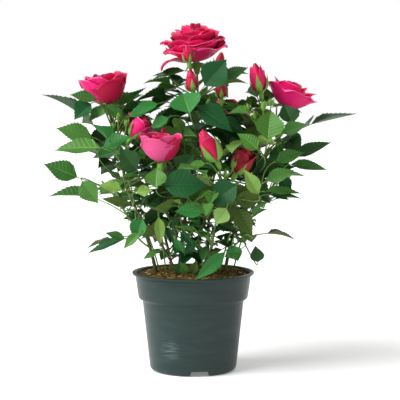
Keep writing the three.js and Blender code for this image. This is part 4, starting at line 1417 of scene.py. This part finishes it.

# Rings of petals from the outside in. angles: elevation of the petal's own line at its root, belly,
# shoulder and rim, in degrees, where 0 runs outwards, 90 up and more leans in; length and width are
# shares of the bloom's size; wrap: how closely the petal follows the ring's round; deep: which petals are
# of a darker red, where some are: in part a deeper red petal, in part painted shade on the bloom's shaded
# side
ringFields = ("petals", "angles", "length", "width", "wrap", "turn", "deep")
petalRings = {
    "open": [
        (5, (0, 38, 24, -22), 1.04, 0.98, 0.74, 8),
        (5, (0, 54, 46, -14), 1.16, 1.02, 0.82, 44),
        (4, (8, 68, 72, 8), 1.2, 1, 0.86, 12),
        (4, (16, 76, 92, 34), 1.2, 0.88, 0.92, 52),
        (4, (30, 83, 100, 60), 1.24, 0.64, 0.96, 10),
        (3, (46, 88, 104, 86), 1.23, 0.5, 1, 55),
        (3, (62, 92, 104, 96), 1.2, 0.3, 1, 0),
        (1, (10, 56, 30, -20), 1.22, 0.6, 0.8, 158),
        (1, (-10, 24, -30, -80), 1.16, 0.5, 0.6, 176),
    ],
    "loose": [
        (4, (0, 46, 54, 8), 1.5, 1.12, 0.84, 20),
        (4, (8, 60, 70, 24), 1.5, 1, 0.88, 64),
        (3, (24, 72, 90, 54), 1.36, 0.8, 0.95, 10),
        (3, (44, 84, 100, 88), 1.25, 0.55, 1, 50),
        (3, (58, 90, 104, 98), 1.2, 0.4, 1, 0),
        (2, (72, 92, 100, 98), 1.12, 0.24, 1, 30),
    ],
    "goblet": [
        (4, (0, 58, 76, 50), 1.66, 1.08, 0.92, 0, (1, 2)),
        (4, (8, 63, 78, 58), 1.62, 1, 0.95, 46),
        (4, (20, 70, 86, 74), 1.52, 0.84, 0.97, 8),
        (3, (36, 78, 94, 88), 1.4, 0.66, 1, 60),
        (3, (54, 86, 98, 96), 1.28, 0.44, 1, 20),
    ],
    "cup": [
        (4, (0, 50, 68, 26), 1.52, 1.02, 0.88, 0),
        (4, (10, 57, 76, 36), 1.46, 0.95, 0.92, 46),
        (4, (22, 66, 84, 56), 1.36, 0.8, 0.95, 8),
        (3, (38, 76, 92, 75), 1.26, 0.66, 1, 60),
        (3, (56, 86, 98, 88), 1.16, 0.44, 1, 20),
    ],
    "half": [
        (3, (8, 80, 98, 60), 2.12, 1.3, 0.95, 0),
        (3, (26, 86, 104, 88), 2.16, 1.1, 1, 55),
        (3, (46, 92, 106, 104), 2.14, 0.8, 1, 20),
    ],
    "bud": [
        (2, (5, 84, 110, 66), 2.5, 1.3, 1, 0, (1,)),
        (3, (24, 88, 112, 100), 2.9, 1.1, 1, 60),
        (3, (42, 92, 112, 118), 3.1, 0.8, 1, 15),
    ],
}

petal = {
    "columns": 12,
    "rows": 12,
    "rimStart": 1.04,  # how far up the last row starts: it makes the rim's painted highlight narrow
    "thickness": 0.45,  # at its middle, mm
    "claw": 0.25,  # width at the root against the shoulder's
    "shoulder": 0.74,  # where the petal is broadest
    "rounding": (0.66, 0.44),  # where the rim starts to round off, and over how much
    "chords": 40,
    "bends": (0, 0.42, 0.78, 1),  # root, belly, shoulder and rim
    "lengths": (0.94, 1.06),  # draws: share of the ring's length, then lean and turn in degrees
    "leans": (-6, 6),
    "sway": (-7, 7),
    "innermost": 0.05,  # a petal comes no nearer to the bloom's axis, as a share of its size
    "flat": 2.2,  # radius, as a share of the bloom's size, of a petal that doesn't wrap
    "tightest": 0.12,  # and of the one that wraps most
    "mostTurn": 2.4,
    "rootRadius": 0.08,  # share of the bloom's size at which the petals stand
    "lap": 0.07,  # how far one edge of a petal stands outside its neighbour
    "reflex": 0.04,  # how far its upper corners roll back
    "corner": (0.3, 2.6),  # how far the corners of its rim drop, and how sharply
    "point": 0.015,  # rise of the middle of its rim
    "ruffle": 0.026,
    "ruffles": 5,
    "crease": 80,
}

# Blooms drawn looser, fuller, more upright or of another size than the source's plain forms: kind, share of
# the size, and how far the bloom is turned upright from the end of its stalk
bloomLooks = {
    "right": ("loose", 1.08, 0.45),
    "left": ("goblet", 0.96, 0.5),
    "front": ("goblet", 1.02, 0.6),
    "bud_crown": ("bud", 1.1, 0),
    "bud_front": ("bud", 1.42, 0),
    "bud_dark": ("half", 1.3, 0),
    "bud_left": ("half", 1.05, 0),
}


def lookOf(name, bloom):
    return bloomLooks.get(name, (bloom["kind"], 1, 0))


# hue of the petals of each bloom, from the outer rings to the heart
petalHues = {
    "open": ("rose", "rose", "deepRose", "rose", "deepRose", "crimson", "crimson", "rose", "rose"),
    "loose": ("rose", "rose", "deepRose", "crimson", "crimson", "crimson"),
    "goblet": ("rose", "rose", "deepRose", "crimson", "crimson"),
    "cup": ("rose", "deepRose", "rose", "crimson", "crimson"),
    "half": ("rose", "deepRose", "crimson"),
    "bud": ("rose", "deepRose", "crimson"),
}


def petalTemplate():
    # Two sheets that meet along their edge: the inner face and the outer face
    shape = bmesh.new()
    bmesh.ops.create_grid(shape, x_segments=petal["columns"], y_segments=petal["rows"], size=1)
    inner = shape.faces[:]
    copied = bmesh.ops.duplicate(shape, geom=inner)["geom"]
    outer = [item for item in copied if isinstance(item, bmesh.types.BMFace)]
    bmesh.ops.reverse_faces(shape, faces=outer)
    for face in outer:
        face.material_index = 1
    for face, side in [(f, 1) for f in inner] + [(f, -1) for f in outer]:
        # The last row of both sheets takes the rim's paler finish: a painted highlight along the petal's
        # edge
        if face.calc_center_median().y > 1 - 1.5 / petal["rows"]:
            face.material_index = 2
        for vert in face.verts:
            vert.co.z = 0 if max(abs(vert.co.x), abs(vert.co.y)) > 0.999 else side
    for vert in shape.verts:
        if vert.co.y < 0.999:
            vert.co.y = -1 + (vert.co.y + 1) * petal["rimStart"]
    bmesh.ops.remove_doubles(shape, verts=shape.verts[:], dist=0.001)
    return asArrays(shape)


petalFlat, petalFaces, petalSides = petalTemplate()


def petalWidth(share):
    # Narrow at the claw, broad at the shoulder, rounded at the rim
    start, over = petal["rounding"]
    swelling = np.sin(np.clip(share / petal["shoulder"], 0, 1) * math.pi / 2)
    rounded = np.sqrt(1 - (np.clip(share - start, 0, 1) / over) ** 2)
    return (petal["claw"] + (1 - petal["claw"]) * swelling) * rounded


def petalPoints(ring, size, azimuth, draw):
    across, up, side = petalFlat[:, 0], (petalFlat[:, 1] + 1) / 2, petalFlat[:, 2]
    length, lean = ring["length"] * size * draw(*petal["lengths"]), draw(*petal["leans"])
    steps = np.linspace(0, 1, petal["chords"] + 1)
    angles = np.radians(np.interp(steps, petal["bends"], ring["angles"]) + lean * steps)
    outs, ups = bentLine(angles, length)
    outs = np.maximum(petal["rootRadius"] * size + outs, petal["innermost"] * size)
    corner, sharpness = petal["corner"]
    dip = corner * np.abs(across) ** sharpness
    reached = up * (1 - (dip - petal["point"] * (1 - np.abs(across))) * up)
    radius, height = np.interp(reached, steps, outs), np.interp(reached, steps, ups)
    angle = np.interp(reached, steps, angles)
    bow = mix(petal["flat"] * size, np.maximum(radius, petal["tightest"] * size), ring["wrap"])
    sideways = across * petalWidth(up) * ring["width"] * size
    turn = np.clip(sideways / bow, -petal["mostTurn"], petal["mostTurn"])
    lifted = bow * (1 - np.cos(turn))
    lifted += petal["lap"] * size * across * up
    lifted -= petal["reflex"] * size * np.abs(across) ** 3 * up**3
    lifted += petal["ruffle"] * size * np.sin(across * petal["ruffles"] + draw(0, 6)) * up**3
    lifted += side * petal["thickness"] / 2
    outward = radius - np.sin(angle) * lifted
    tall = height + np.cos(angle) * lifted
    return np.column_stack([*spun(outward, bow * np.sin(turn), azimuth), tall])


def bloomFrame(curve, spin, upright=0):
    # Axes of a bloom that faces along the end of its stalk, or is turned upright from there
    axis = unit(mix(curve.tangent(1), vector(0, 0, 1), upright))
    turn = Vector((0, 0, 1)).rotation_difference(Vector(axis)).to_matrix()
    c, s = spun(1, 0, spin)
    return np.array(turn) @ np.array([[c, -s, 0], [s, c, 0], [0, 0, 1]]), curve.point(1)


# Saturated pink to crimson: the inner face, the outer face and the rim of each hue; the rim's paler colour
# is a painted highlight along the petal's edge
petalColours = {
    "rose": ("#e61e62", "#e01e66", "#ec4a86"),
    "deepRose": ("#d81a50", "#d41a58", "#e23a70"),
    "fuchsia": ("#ea1a70", "#e81a72", "#f268a6"),
    "blush": ("#da286a", "#d84a82", "#ea629a"),
    "crimson": ("#c01240", "#bc1244", "#d0305e"),
    "dusk": ("#9c1428", "#981428", "#b82c40"),
}

# Blooms whose rose-coloured petals, or all of them, are of another hue
otherHues = {
    "left": "fuchsia",
    "right": "fuchsia",
    "front": "blush",
    "bud_left": "fuchsia",
    "bud_crown": "deepRose",
    "bud_under": "crimson",
}
darkBlooms = ("bud_dark", "bud_top", "bud_side")

# Velvety petals, with a soft sheen on the outside
petalLook = {
    "surface": {
        "Roughness": 0.48,
        "Specular_IOR_Level": 0.25,
        "Sheen_Roughness": 0.4,
        "Sheen_Tint": colour("#ffb0d0"),
        "Subsurface_Weight": 0.12,
        "Subsurface_Scale": 0.002,
        "Subsurface_Radius": (1, 0.25, 0.35),
    },
    # The rim's finish is paler than the faces: a painted highlight along the petal's edge
    "sheen": {"petalInside_": 0.05, "petalOutside_": 0.15, "petalRimHighlight_": 0.1},
    "grain": {"Scale": 900, "Detail": 2},
    "relief": (0.0002, 0.25),
}
petalMaterials, petalNumbers = [], {}
for hue, codes in petalColours.items():
    petalNumbers[hue] = len(petalMaterials)
    for (face, sheen), code in zip(petalLook["sheen"].items(), codes):
        made = grained(face + hue, petalLook, Base_Color=colour(code), Sheen_Weight=sheen)
        petalMaterials.append(made)


def bloomPieces():
    for number, (name, bloom) in enumerate([*blooms.items(), *moreBuds.items()]):
        gathered = Gathering()
        kind, larger, upright = lookOf(name, bloom)
        turned, base = bloomFrame(limbs[name], bloom["spin"], upright)
        draw = makeDraw(firstSeed["petals"] + number)
        for level, values in enumerate(petalRings[kind]):
            ring = dict(zip(ringFields, values))
            hue = "dusk" if name in darkBlooms else petalHues[kind][level]
            if hue == "rose":
                hue = otherHues.get(name, hue)
            for i in range(ring["petals"]):
                # Petals listed as deep take the crimson finish: in part a deeper red petal, in part painted
                # shade on the bloom's shaded side
                finishes = petalNumbers["crimson" if i in ring.get("deep", ()) else hue] + petalSides
                azimuth = ring["turn"] + 360 * i / ring["petals"] + draw(*petal["sway"])
                points = petalPoints(ring, bloom["size"] * larger, azimuth, draw)
                gathered.add(points @ turned.T + base, petalFaces, finishes)
        pieceName = "petals_" + name
        nodes = ["rose_" + name] if name in blooms else []
        shown(pieceName, gathered.mesh(pieceName, petalMaterials, petal["crease"]), nodes)


bloomPieces()

# Sepals by kind of bloom: elevation at the root, the knee and the tip, where the knee is, and length and
# width as shares of the bloom's size. On buds they lie on the outer petals
sepalLooks = {
    "open": {"lift": (-20, -40, -50), "knee": 0.3, "length": 0.56, "width": 0.09},
    "cup": {"lift": (10, -20, -35), "knee": 0.3, "length": 0.75, "width": 0.13},
    "half": {"lift": (8, 78, 84), "knee": 0.55, "length": 1.7, "width": 0.24},
    "bud": {"lift": (5, 82, 100), "knee": 0.5, "length": 2.4, "width": 0.4},
}

# Green buds that haven't opened, in clusters: stem, share of it, tip of the stalk, and size
greenBuds = [
    ("bud_right", 0.62, (58, -52, 250), 2.6),
    ("bud_right", 0.62, (66, -56, 258), 2.9),
    ("bud_right", 0.66, (74, -44, 262), 2.4),
    ("bud_right", 0.6, (52, -46, 258), 2.2),
    ("left", 0.5, (-71, -42, 248), 2.4),
    ("left", 0.52, (-63, -46, 243), 2.2),
    ("left", 0.48, (-76, -38, 240), 2),
    ("bud_front", 0.62, (30, -62, 196), 2.4),
    ("top", 0.6, (14, -38, 262), 2.3),
    ("middle", 0.9, (38, -62, 205), 2),
]


# Dull green, faintly downy skin of sepals, hips and unopened buds
sepalLook = {
    "surface": {"Base_Color": colour("#6c9c3a"), "Roughness": 0.55, "Sheen_Weight": 0.06},
    "grain": {"Scale": 500, "Detail": 3},
    "relief": (0.0003, 0.4),
}
sepalFinish = grained("sepalSkin", sepalLook)

sepal = {
    "count": 5,
    "chords": 20,
    "start": (1.5, -0.8),  # root from the bloom's base, outwards and up, mm
    "narrowing": 0.35,
    "cupped": 0.35,
    "sway": (-10, 10),
    "spread": (0, 24),
    "lengths": (0.8, 1.1),
    "crease": 60,
}

# Hips and green buds: radii at levels along the stalk's own line, both as shares of their size
hip = {
    "size": 1.9,
    "gain": 0.06,  # with the size of the bloom
    "levels": (-3.4, -2.7, -1.8, -0.9, -0.1, 0.5),
    "radii": (0.5, 0.75, 1, 1.02, 0.85, 0.6),
    "sides": 12,
}
greenBud = {
    "size": 0.8,
    "levels": (-0.7, -0.2, 0.4, 1, 1.8, 2.6, 3.4),
    "radii": (0.3, 0.7, 0.85, 1, 0.85, 0.45, 0.1),
    "upright": 0.6,
    "stalk": (0.8, 0.6),
    "stalkSteps": 9,
    "turns": (40, 25),  # from one bud to the next, of the bud and of its sepals
    "sepals": 4,
    "lift": (60, 80, 100),
    "knee": 0.5,
    "sepalSize": (4.4, 0.8),  # length and width as shares of the bud's size
}


def sepalPoints(base, turned, azimuth, lift, knee, length, width):
    # A lance-shaped blade that bends from one elevation to another, from the leaflet's own outline
    share, across = templatePoints[:, 0] / templatePoints[:, 0].max(), templatePoints[:, 1]
    steps = np.linspace(0, 1, sepal["chords"] + 1)
    angles = np.radians(np.interp(steps, (0, knee, 1), lift))
    outs, ups = [start + line for start, line in zip(sepal["start"], bentLine(angles, length))]
    radius, height = np.interp(share, steps, outs), np.interp(share, steps, ups)
    narrow = across * width * (1 - sepal["narrowing"] * share)
    cupped = sepal["cupped"] * np.abs(narrow)
    angle = np.interp(share, steps, angles)
    radius, height = radius - np.sin(angle) * cupped, height + np.cos(angle) * cupped
    return np.column_stack([*spun(radius, narrow, azimuth), height]) @ turned.T + base


def swelling(shape, base, axis, size):
    # The line and the radii of a hip or a green bud
    line = np.array([base + axis * size * level for level in shape["levels"]])
    return line, np.array(shape["radii"]) * size


def calyxPiece():
    # Sepals, hips and green buds
    gathered, hips = Gathering(), []
    plain = np.zeros(len(templateFaces), int)
    for number, (name, bloom) in enumerate([*blooms.items(), *moreBuds.items()]):
        larger, upright = lookOf(name, bloom)[1:]
        turned, base = bloomFrame(limbs[name], bloom["spin"], upright)
        draw = makeDraw(firstSeed["sepals"] + number)
        look, size = sepalLooks[bloom["kind"]], bloom["size"] * larger
        for i in range(sepal["count"]):
            azimuth = 360 / sepal["count"] * i + draw(*sepal["sway"])
            root, bend, tip = look["lift"]
            lift = (root, bend, tip - draw(*sepal["spread"]))
            length = look["length"] * draw(*sepal["lengths"]) * size
            points = sepalPoints(base, turned, azimuth, lift, look["knee"], length, look["width"] * size)
            gathered.add(points, templateFaces, plain)
        hips.append(swelling(hip, base, turned[:, 2], hip["size"] + size * hip["gain"]))
    for number, (stem, at, tip, size) in enumerate(greenBuds):
        start, tip = limbs[stem].point(at), vector(*tip)
        arriving = unit(mix(unit(tip - start), vector(0, 0, 1), greenBud["upright"]))
        stalk = shootCurve(start, limbs[stem].tangent(at), tip, arriving)
        size *= greenBud["size"]
        steps = greenBud["stalkSteps"]
        hips.append((stalk.points(0, 1, steps), np.linspace(*greenBud["stalk"], steps)))
        turns = [turn * number for turn in greenBud["turns"]]
        turned, base = bloomFrame(stalk, turns[0])
        hips.append(swelling(greenBud, base, turned[:, 2], size))
        length, width = [size * share for share in greenBud["sepalSize"]]
        for i in range(greenBud["sepals"]):
            azimuth = 360 / greenBud["sepals"] * i + turns[1]
            lift, knee = greenBud["lift"], greenBud["knee"]
            points = sepalPoints(base, turned, azimuth, lift, knee, length, width)
            gathered.add(points, templateFaces, plain)
    shown("sepals", gathered.mesh("sepals", [sepalFinish], sepal["crease"]))
    mesh = tubes("hips", hips, hip["sides"])
    mesh.materials.append(sepalFinish)
    shown("hips", mesh)


calyxPiece()
print("blooms made")

pot = {
    "steps": 144,
    "crease": 38,
    "notches": 4,
    "notchTurn": 9,
    "notchWidth": (20, 16.5),  # at the bottom and the top
    "notchHeight": 5.2,
    "notchReach": (39, 20),  # how far out its middle stands, and how long it is
    "cutBelow": -1,  # its cutter starts below the foot
}

# Outer and inner line of the pot's wall, radius and height, from the middle of the underside
potLine = [
    (0, 3.8),  # underside, hollow inside the foot
    (33, 3.8),
    (35, 3.4),
    (36, 2.4),
    (36.3, 0.5),
    (36.9, 0),  # foot
    (39, 0),
    (41.2, 1.2),
    (42.5, 3.2),
    (42.95, 6),
    (46.4, 38),  # tapering wall
    (49.75, 68.2),  # band below the rim
    (50.2, 69.6),
    (51.4, 70.6),
    (52.9, 71.2),
    (53.7, 72.2),
    (54, 73.6),
    (55.5, 84),
    (56.9, 94.3),  # rim
    (58.6, 94.6),
    (59.6, 95.1),
    (60, 96),
    (59.8, 96.9),
    (59.1, 97.4),
    (57.4, 97.5),
    (56.2, 97.2),
    (55.5, 96.2),
    (55.1, 94),  # inside
    (53.9, 84),
    (52.3, 74),
    (48.3, 69.5),
    (44.8, 38),
    (41.3, 7.5),
    (40, 6),
    (0, 6),
]


def notchCutters():
    # One block for each drain notch, narrower at its top
    shape = bmesh.new()
    (middle, deep), (wide, narrow) = pot["notchReach"], pot["notchWidth"]
    for i in range(pot["notches"]):
        bearing = -90 + pot["notchTurn"] + i * 360 / pot["notches"]
        for vert in bmesh.ops.create_cube(shape, size=1)["verts"]:
            top = vert.co.z > 0
            x, y = spun(middle + vert.co.x * deep, vert.co.y * (narrow if top else wide), bearing)
            z = pot["notchHeight"] if top else pot["cutBelow"]
            vert.co = (x * mm, y * mm, z * mm)
    bmesh.ops.recalc_face_normals(shape, faces=shape.faces[:])
    return asMesh("notchCutters", shape)


potLook = {
    "surface": {"IOR": 1.49, "Specular_IOR_Level": 0.27},
    "flow": {"Scale": 60, "Detail": 5},
    "flowStretch": (0.35, 0.35, 2.2),
    "flowRelief": (0.0006, 0.25),
    "body": [(0.3, "#1d2d2c"), (0.7, "#263936")],
    "scratches": {"Scale": 640, "Detail": 6, "Roughness": 0.7},
    "scratchStretch": (0.1, 0.1, 1),
    "marks": [(0.46, "#000000"), (0.64, "#ffffff")],
    "wornPlace": (-0.022, -0.038, 0.025),  # middle of the scuffed patch
    # scuffs fade with the distance from there
    "worn": {"From Min": 0.002, "From Max": 0.013, "To Min": 0.7, "To Max": 0.03},
    "scuffed": "#66777a",
    "dulled": {"To Min": 0.36, "To Max": 0.6},  # roughness, from sound to scuffed
}


def polypropylene():
    # Injection-moulded polypropylene: satin, cool grey-green, with faint flow rings and pale scuffs low down
    look = potLook
    material, tree, shader = finish("satinPolypropylene", **look["surface"])
    along, across = objectCoords(tree, look["flowStretch"]), objectCoords(tree, look["scratchStretch"])
    flow = addNode(tree, "TexNoise", look["flow"], {"Vector": along}).outputs["Fac"]
    scratches = addNode(tree, "TexNoise", look["scratches"], {"Vector": across}).outputs["Fac"]
    measured = {"operation": "DISTANCE", 1: look["wornPlace"]}
    away = addNode(tree, "VectorMath", measured, {0: objectCoords(tree)}).outputs["Value"]
    near = addNode(tree, "MapRange", look["worn"], {"Value": away}).outputs[0]
    marks = ramp(tree, scratches, look["marks"])
    scuffs = addNode(tree, "Math", {"operation": "MULTIPLY"}, {0: marks, 1: near}).outputs[0]
    body = ramp(tree, flow, look["body"])
    shade = addNode(tree, "Mix", {"data_type": "RGBA"}, {0: scuffs, 6: body})
    shade.inputs[7].default_value = colour(look["scuffed"])
    tree.links.new(shade.outputs[2], shader.inputs["Base Color"])
    dull = addNode(tree, "MapRange", look["dulled"], {"Value": scuffs}).outputs[0]
    tree.links.new(dull, shader.inputs["Roughness"])
    bumped(tree, shader, flow, *look["flowRelief"])
    return material


def potPiece():
    # The wall's line spun round the upright axis, with drain notches cut through its foot
    shape = spunLine([(radius * mm, z * mm) for radius, z in potLine], pot["steps"], 0.00001)
    bmesh.ops.recalc_face_normals(shape, faces=shape.faces[:])
    shell = bpy.data.objects.new("potBlank", asMesh("potBlank", shape))
    cutters = bpy.data.objects.new("potCutters", notchCutters())
    for item in (shell, cutters):
        bpy.context.scene.collection.objects.link(item)
    cut = shell.modifiers.new("notches", "BOOLEAN")
    cut.operation, cut.solver, cut.object = "DIFFERENCE", "EXACT", cutters
    evaluated = shell.evaluated_get(bpy.context.evaluated_depsgraph_get())
    mesh = bpy.data.meshes.new_from_object(evaluated)
    for item in (shell, cutters):
        bpy.data.objects.remove(item)
    mesh.name = "potShell"
    mesh.polygons.foreach_set("use_smooth", np.ones(len(mesh.polygons), bool))
    mesh.set_sharp_from_angle(angle=math.radians(pot["crease"]))
    mesh.materials.clear()
    mesh.materials.append(polypropylene())
    shown("potShell", mesh, ["pot"])


potPiece()

peat = {
    "rings": 30,
    "steps": 110,
    "radius": 54.2,
    "foot": 76,  # only the top of the filling is made: it stands inside the pot's band
    "footRadius": 52,
    "level": 94.6,
    "mound": 5,  # height of its middle over its edge
    "lumps": 2.2,
    "heaps": ((3, 0.11, 1.1), (9, 0.32, 0.6), (5, 0.8, 0.35)),  # where in the noise, how close and how high
    "edge": (3, 0.3),  # how fast the lumps die away at the edge, and what is left of them there
}
strewn = {
    "crumbs": {"count": 1500, "sizes": (0.7, 2.6), "form": (1, 0.9, 0.8)},
    "chips": {"count": 150, "sizes": (1.2, 3.2), "form": (1.9, 0.7, 0.45)},
    "within": 0.985,  # of the peat's own round
    "jitter": (0.7, 1.3),
    "sunk": 0.25,
    "crease": 40,
}


def peatHeight(x, y):
    far = math.hypot(x, y) / peat["radius"]
    fade, left = peat["edge"]
    rough = sum(noise.noise(Vector((x, y, z)) * close) * high for z, close, high in peat["heaps"])
    rough = peat["lumps"] * rough * min(1, fade * (1 - far) + left)
    return peat["level"] + peat["mound"] * (1 - far**2) + rough


# Moist milled peat: matt brown fibres and crumbs; one grain sets both its relief and its colour, so it is
# near black in its hollows and pale on its tops, a painted shade over its own mix of dark and pale fibres
peatLook = {
    "surface": {"Roughness": 0.95, "Specular_IOR_Level": 0.25},
    "grain": {"Scale": 420, "Detail": 7, "Roughness": 0.7},
    "relief": (0.001, 0.9),
}
# Shades run from near black at the grain's sunken end to pale at its raised end: painted shade in the
# hollows, over the peat's own dark and pale fibres
peatShades = {
    "milledPeat": [(0.36, "#241808"), (0.5, "#6e5428"), (0.62, "#a88a4a"), (0.74, "#d8bc78")],
    "peatCrumb": [(0.3, "#382612"), (0.6, "#7a5e32"), (0.8, "#a58850")],
    "woodChip": [(0.3, "#b89a5a"), (0.7, "#e0cc92")],
}
peatFinish = {name: grained(name, {**peatLook, "shades": shades}) for name, shades in peatShades.items()}


def peatPiece():
    # A closed round of peat; its top is spun flat above the foot and then heaped
    line = [(0, peat["foot"]), (peat["footRadius"], peat["foot"])]
    line += [(peat["radius"] * (1 - i / peat["rings"]), peat["level"]) for i in range(peat["rings"] + 1)]
    shape = spunLine(line, peat["steps"], 0.001)
    for vert in shape.verts:
        if vert.co.z > peat["foot"] + 1:
            vert.co.z = peatHeight(vert.co.x, vert.co.y)
    bmesh.ops.recalc_face_normals(shape, faces=shape.faces[:])
    bmesh.ops.scale(shape, vec=(mm, mm, mm), verts=shape.verts[:])
    for face in shape.faces:
        face.smooth = True
    mesh = asMesh("peat", shape)
    mesh.materials.append(peatFinish["milledPeat"])
    shown("peat", mesh, ["compost"])


def crumbPiece():
    # Crumbs and pale woody chips strewn over the peat
    shape = bmesh.new()
    bmesh.ops.create_icosphere(shape, subdivisions=1, radius=1)
    points, faces, _ = asArrays(shape)
    gathered = Gathering()
    draw = makeDraw(firstSeed["crumbs"])
    for number, kind in enumerate(("crumbs", "chips")):
        for _ in range(strewn[kind]["count"]):
            far, bearing = peat["radius"] * math.sqrt(draw(0, strewn["within"])), draw(0, 2 * math.pi)
            x, y = far * math.cos(bearing), far * math.sin(bearing)
            size = draw(*strewn[kind]["sizes"]) * 0.5
            jitter = np.array([[draw(*strewn["jitter"]) for _ in range(3)] for _ in range(len(points))])
            shaped = points * jitter * size * vector(*strewn[kind]["form"])
            turned = spun(shaped[:, 0], shaped[:, 1], math.degrees(bearing) * 7)
            place = vector(x, y, peatHeight(x, y) + size * strewn["sunk"])
            placed = np.column_stack([*turned, shaped[:, 2]]) + place
            gathered.add(placed, faces, np.full(len(faces), number))
    materials = [peatFinish["peatCrumb"], peatFinish["woodChip"]]
    shown("crumbs", gathered.mesh("crumbs", materials, strewn["crease"]))


peatPiece()
crumbPiece()
print("pot and compost made")

stage = {
    "floor": "#f4f4f2",
    "floorSize": 6,
    "floorGlow": 0.2,  # light that comes through the paper, which softens the shadow
    "world": "#ffffff",
    "worldStrength": 0.35,
    "backdrop": 1.0,
    # soft lamps like wide windows: where the light comes from, its strength and its angle across
    "lamps": {
        "key": ((-1.3, -0.66, 1.2), 4.4, 50),
        "back": ((0.5, 1.0, 0.8), 0.8, 50),
    },
}


def lightStage():
    floor = bmesh.new()
    bmesh.ops.create_grid(floor, x_segments=1, y_segments=1, size=stage["floorSize"])
    mesh = asMesh("floor", floor)
    paper = finish(
        "paperFloor",
        Base_Color=colour(stage["floor"]),
        Roughness=0.9,
        Emission_Color=colour(stage["world"]),
        Emission_Strength=stage["floorGlow"],
    )
    mesh.materials.append(paper[0])
    plane = bpy.data.objects.new("floor", mesh)
    bpy.context.scene.collection.objects.link(plane)
    # A white backdrop, brighter to look at than the light that it gives
    world = bpy.data.worlds.new("studio")
    world.use_nodes = True
    tree = world.node_tree
    background = tree.nodes["Background"]
    background.inputs["Color"].default_value = colour(stage["world"])
    seen = addNode(tree, "LightPath", {}, {})
    strength = addNode(
        tree,
        "MapRange",
        {"To Min": stage["worldStrength"], "To Max": stage["backdrop"]},
        {"Value": seen.outputs["Is Camera Ray"]},
    )
    tree.links.new(strength.outputs[0], background.inputs["Strength"])
    bpy.context.scene.world = world
    for name, (place, power, wide) in stage["lamps"].items():
        lamp = bpy.data.lights.new(name, "SUN")
        lamp.energy, lamp.angle = power, math.radians(wide)
        holder = bpy.data.objects.new(name, lamp)
        holder.location = place
        holder.rotation_euler = (-Vector(place)).to_track_quat("-Z", "Y").to_euler()
        bpy.context.scene.collection.objects.link(holder)
    bpy.context.scene.view_settings.view_transform = "Standard"


lightStage()
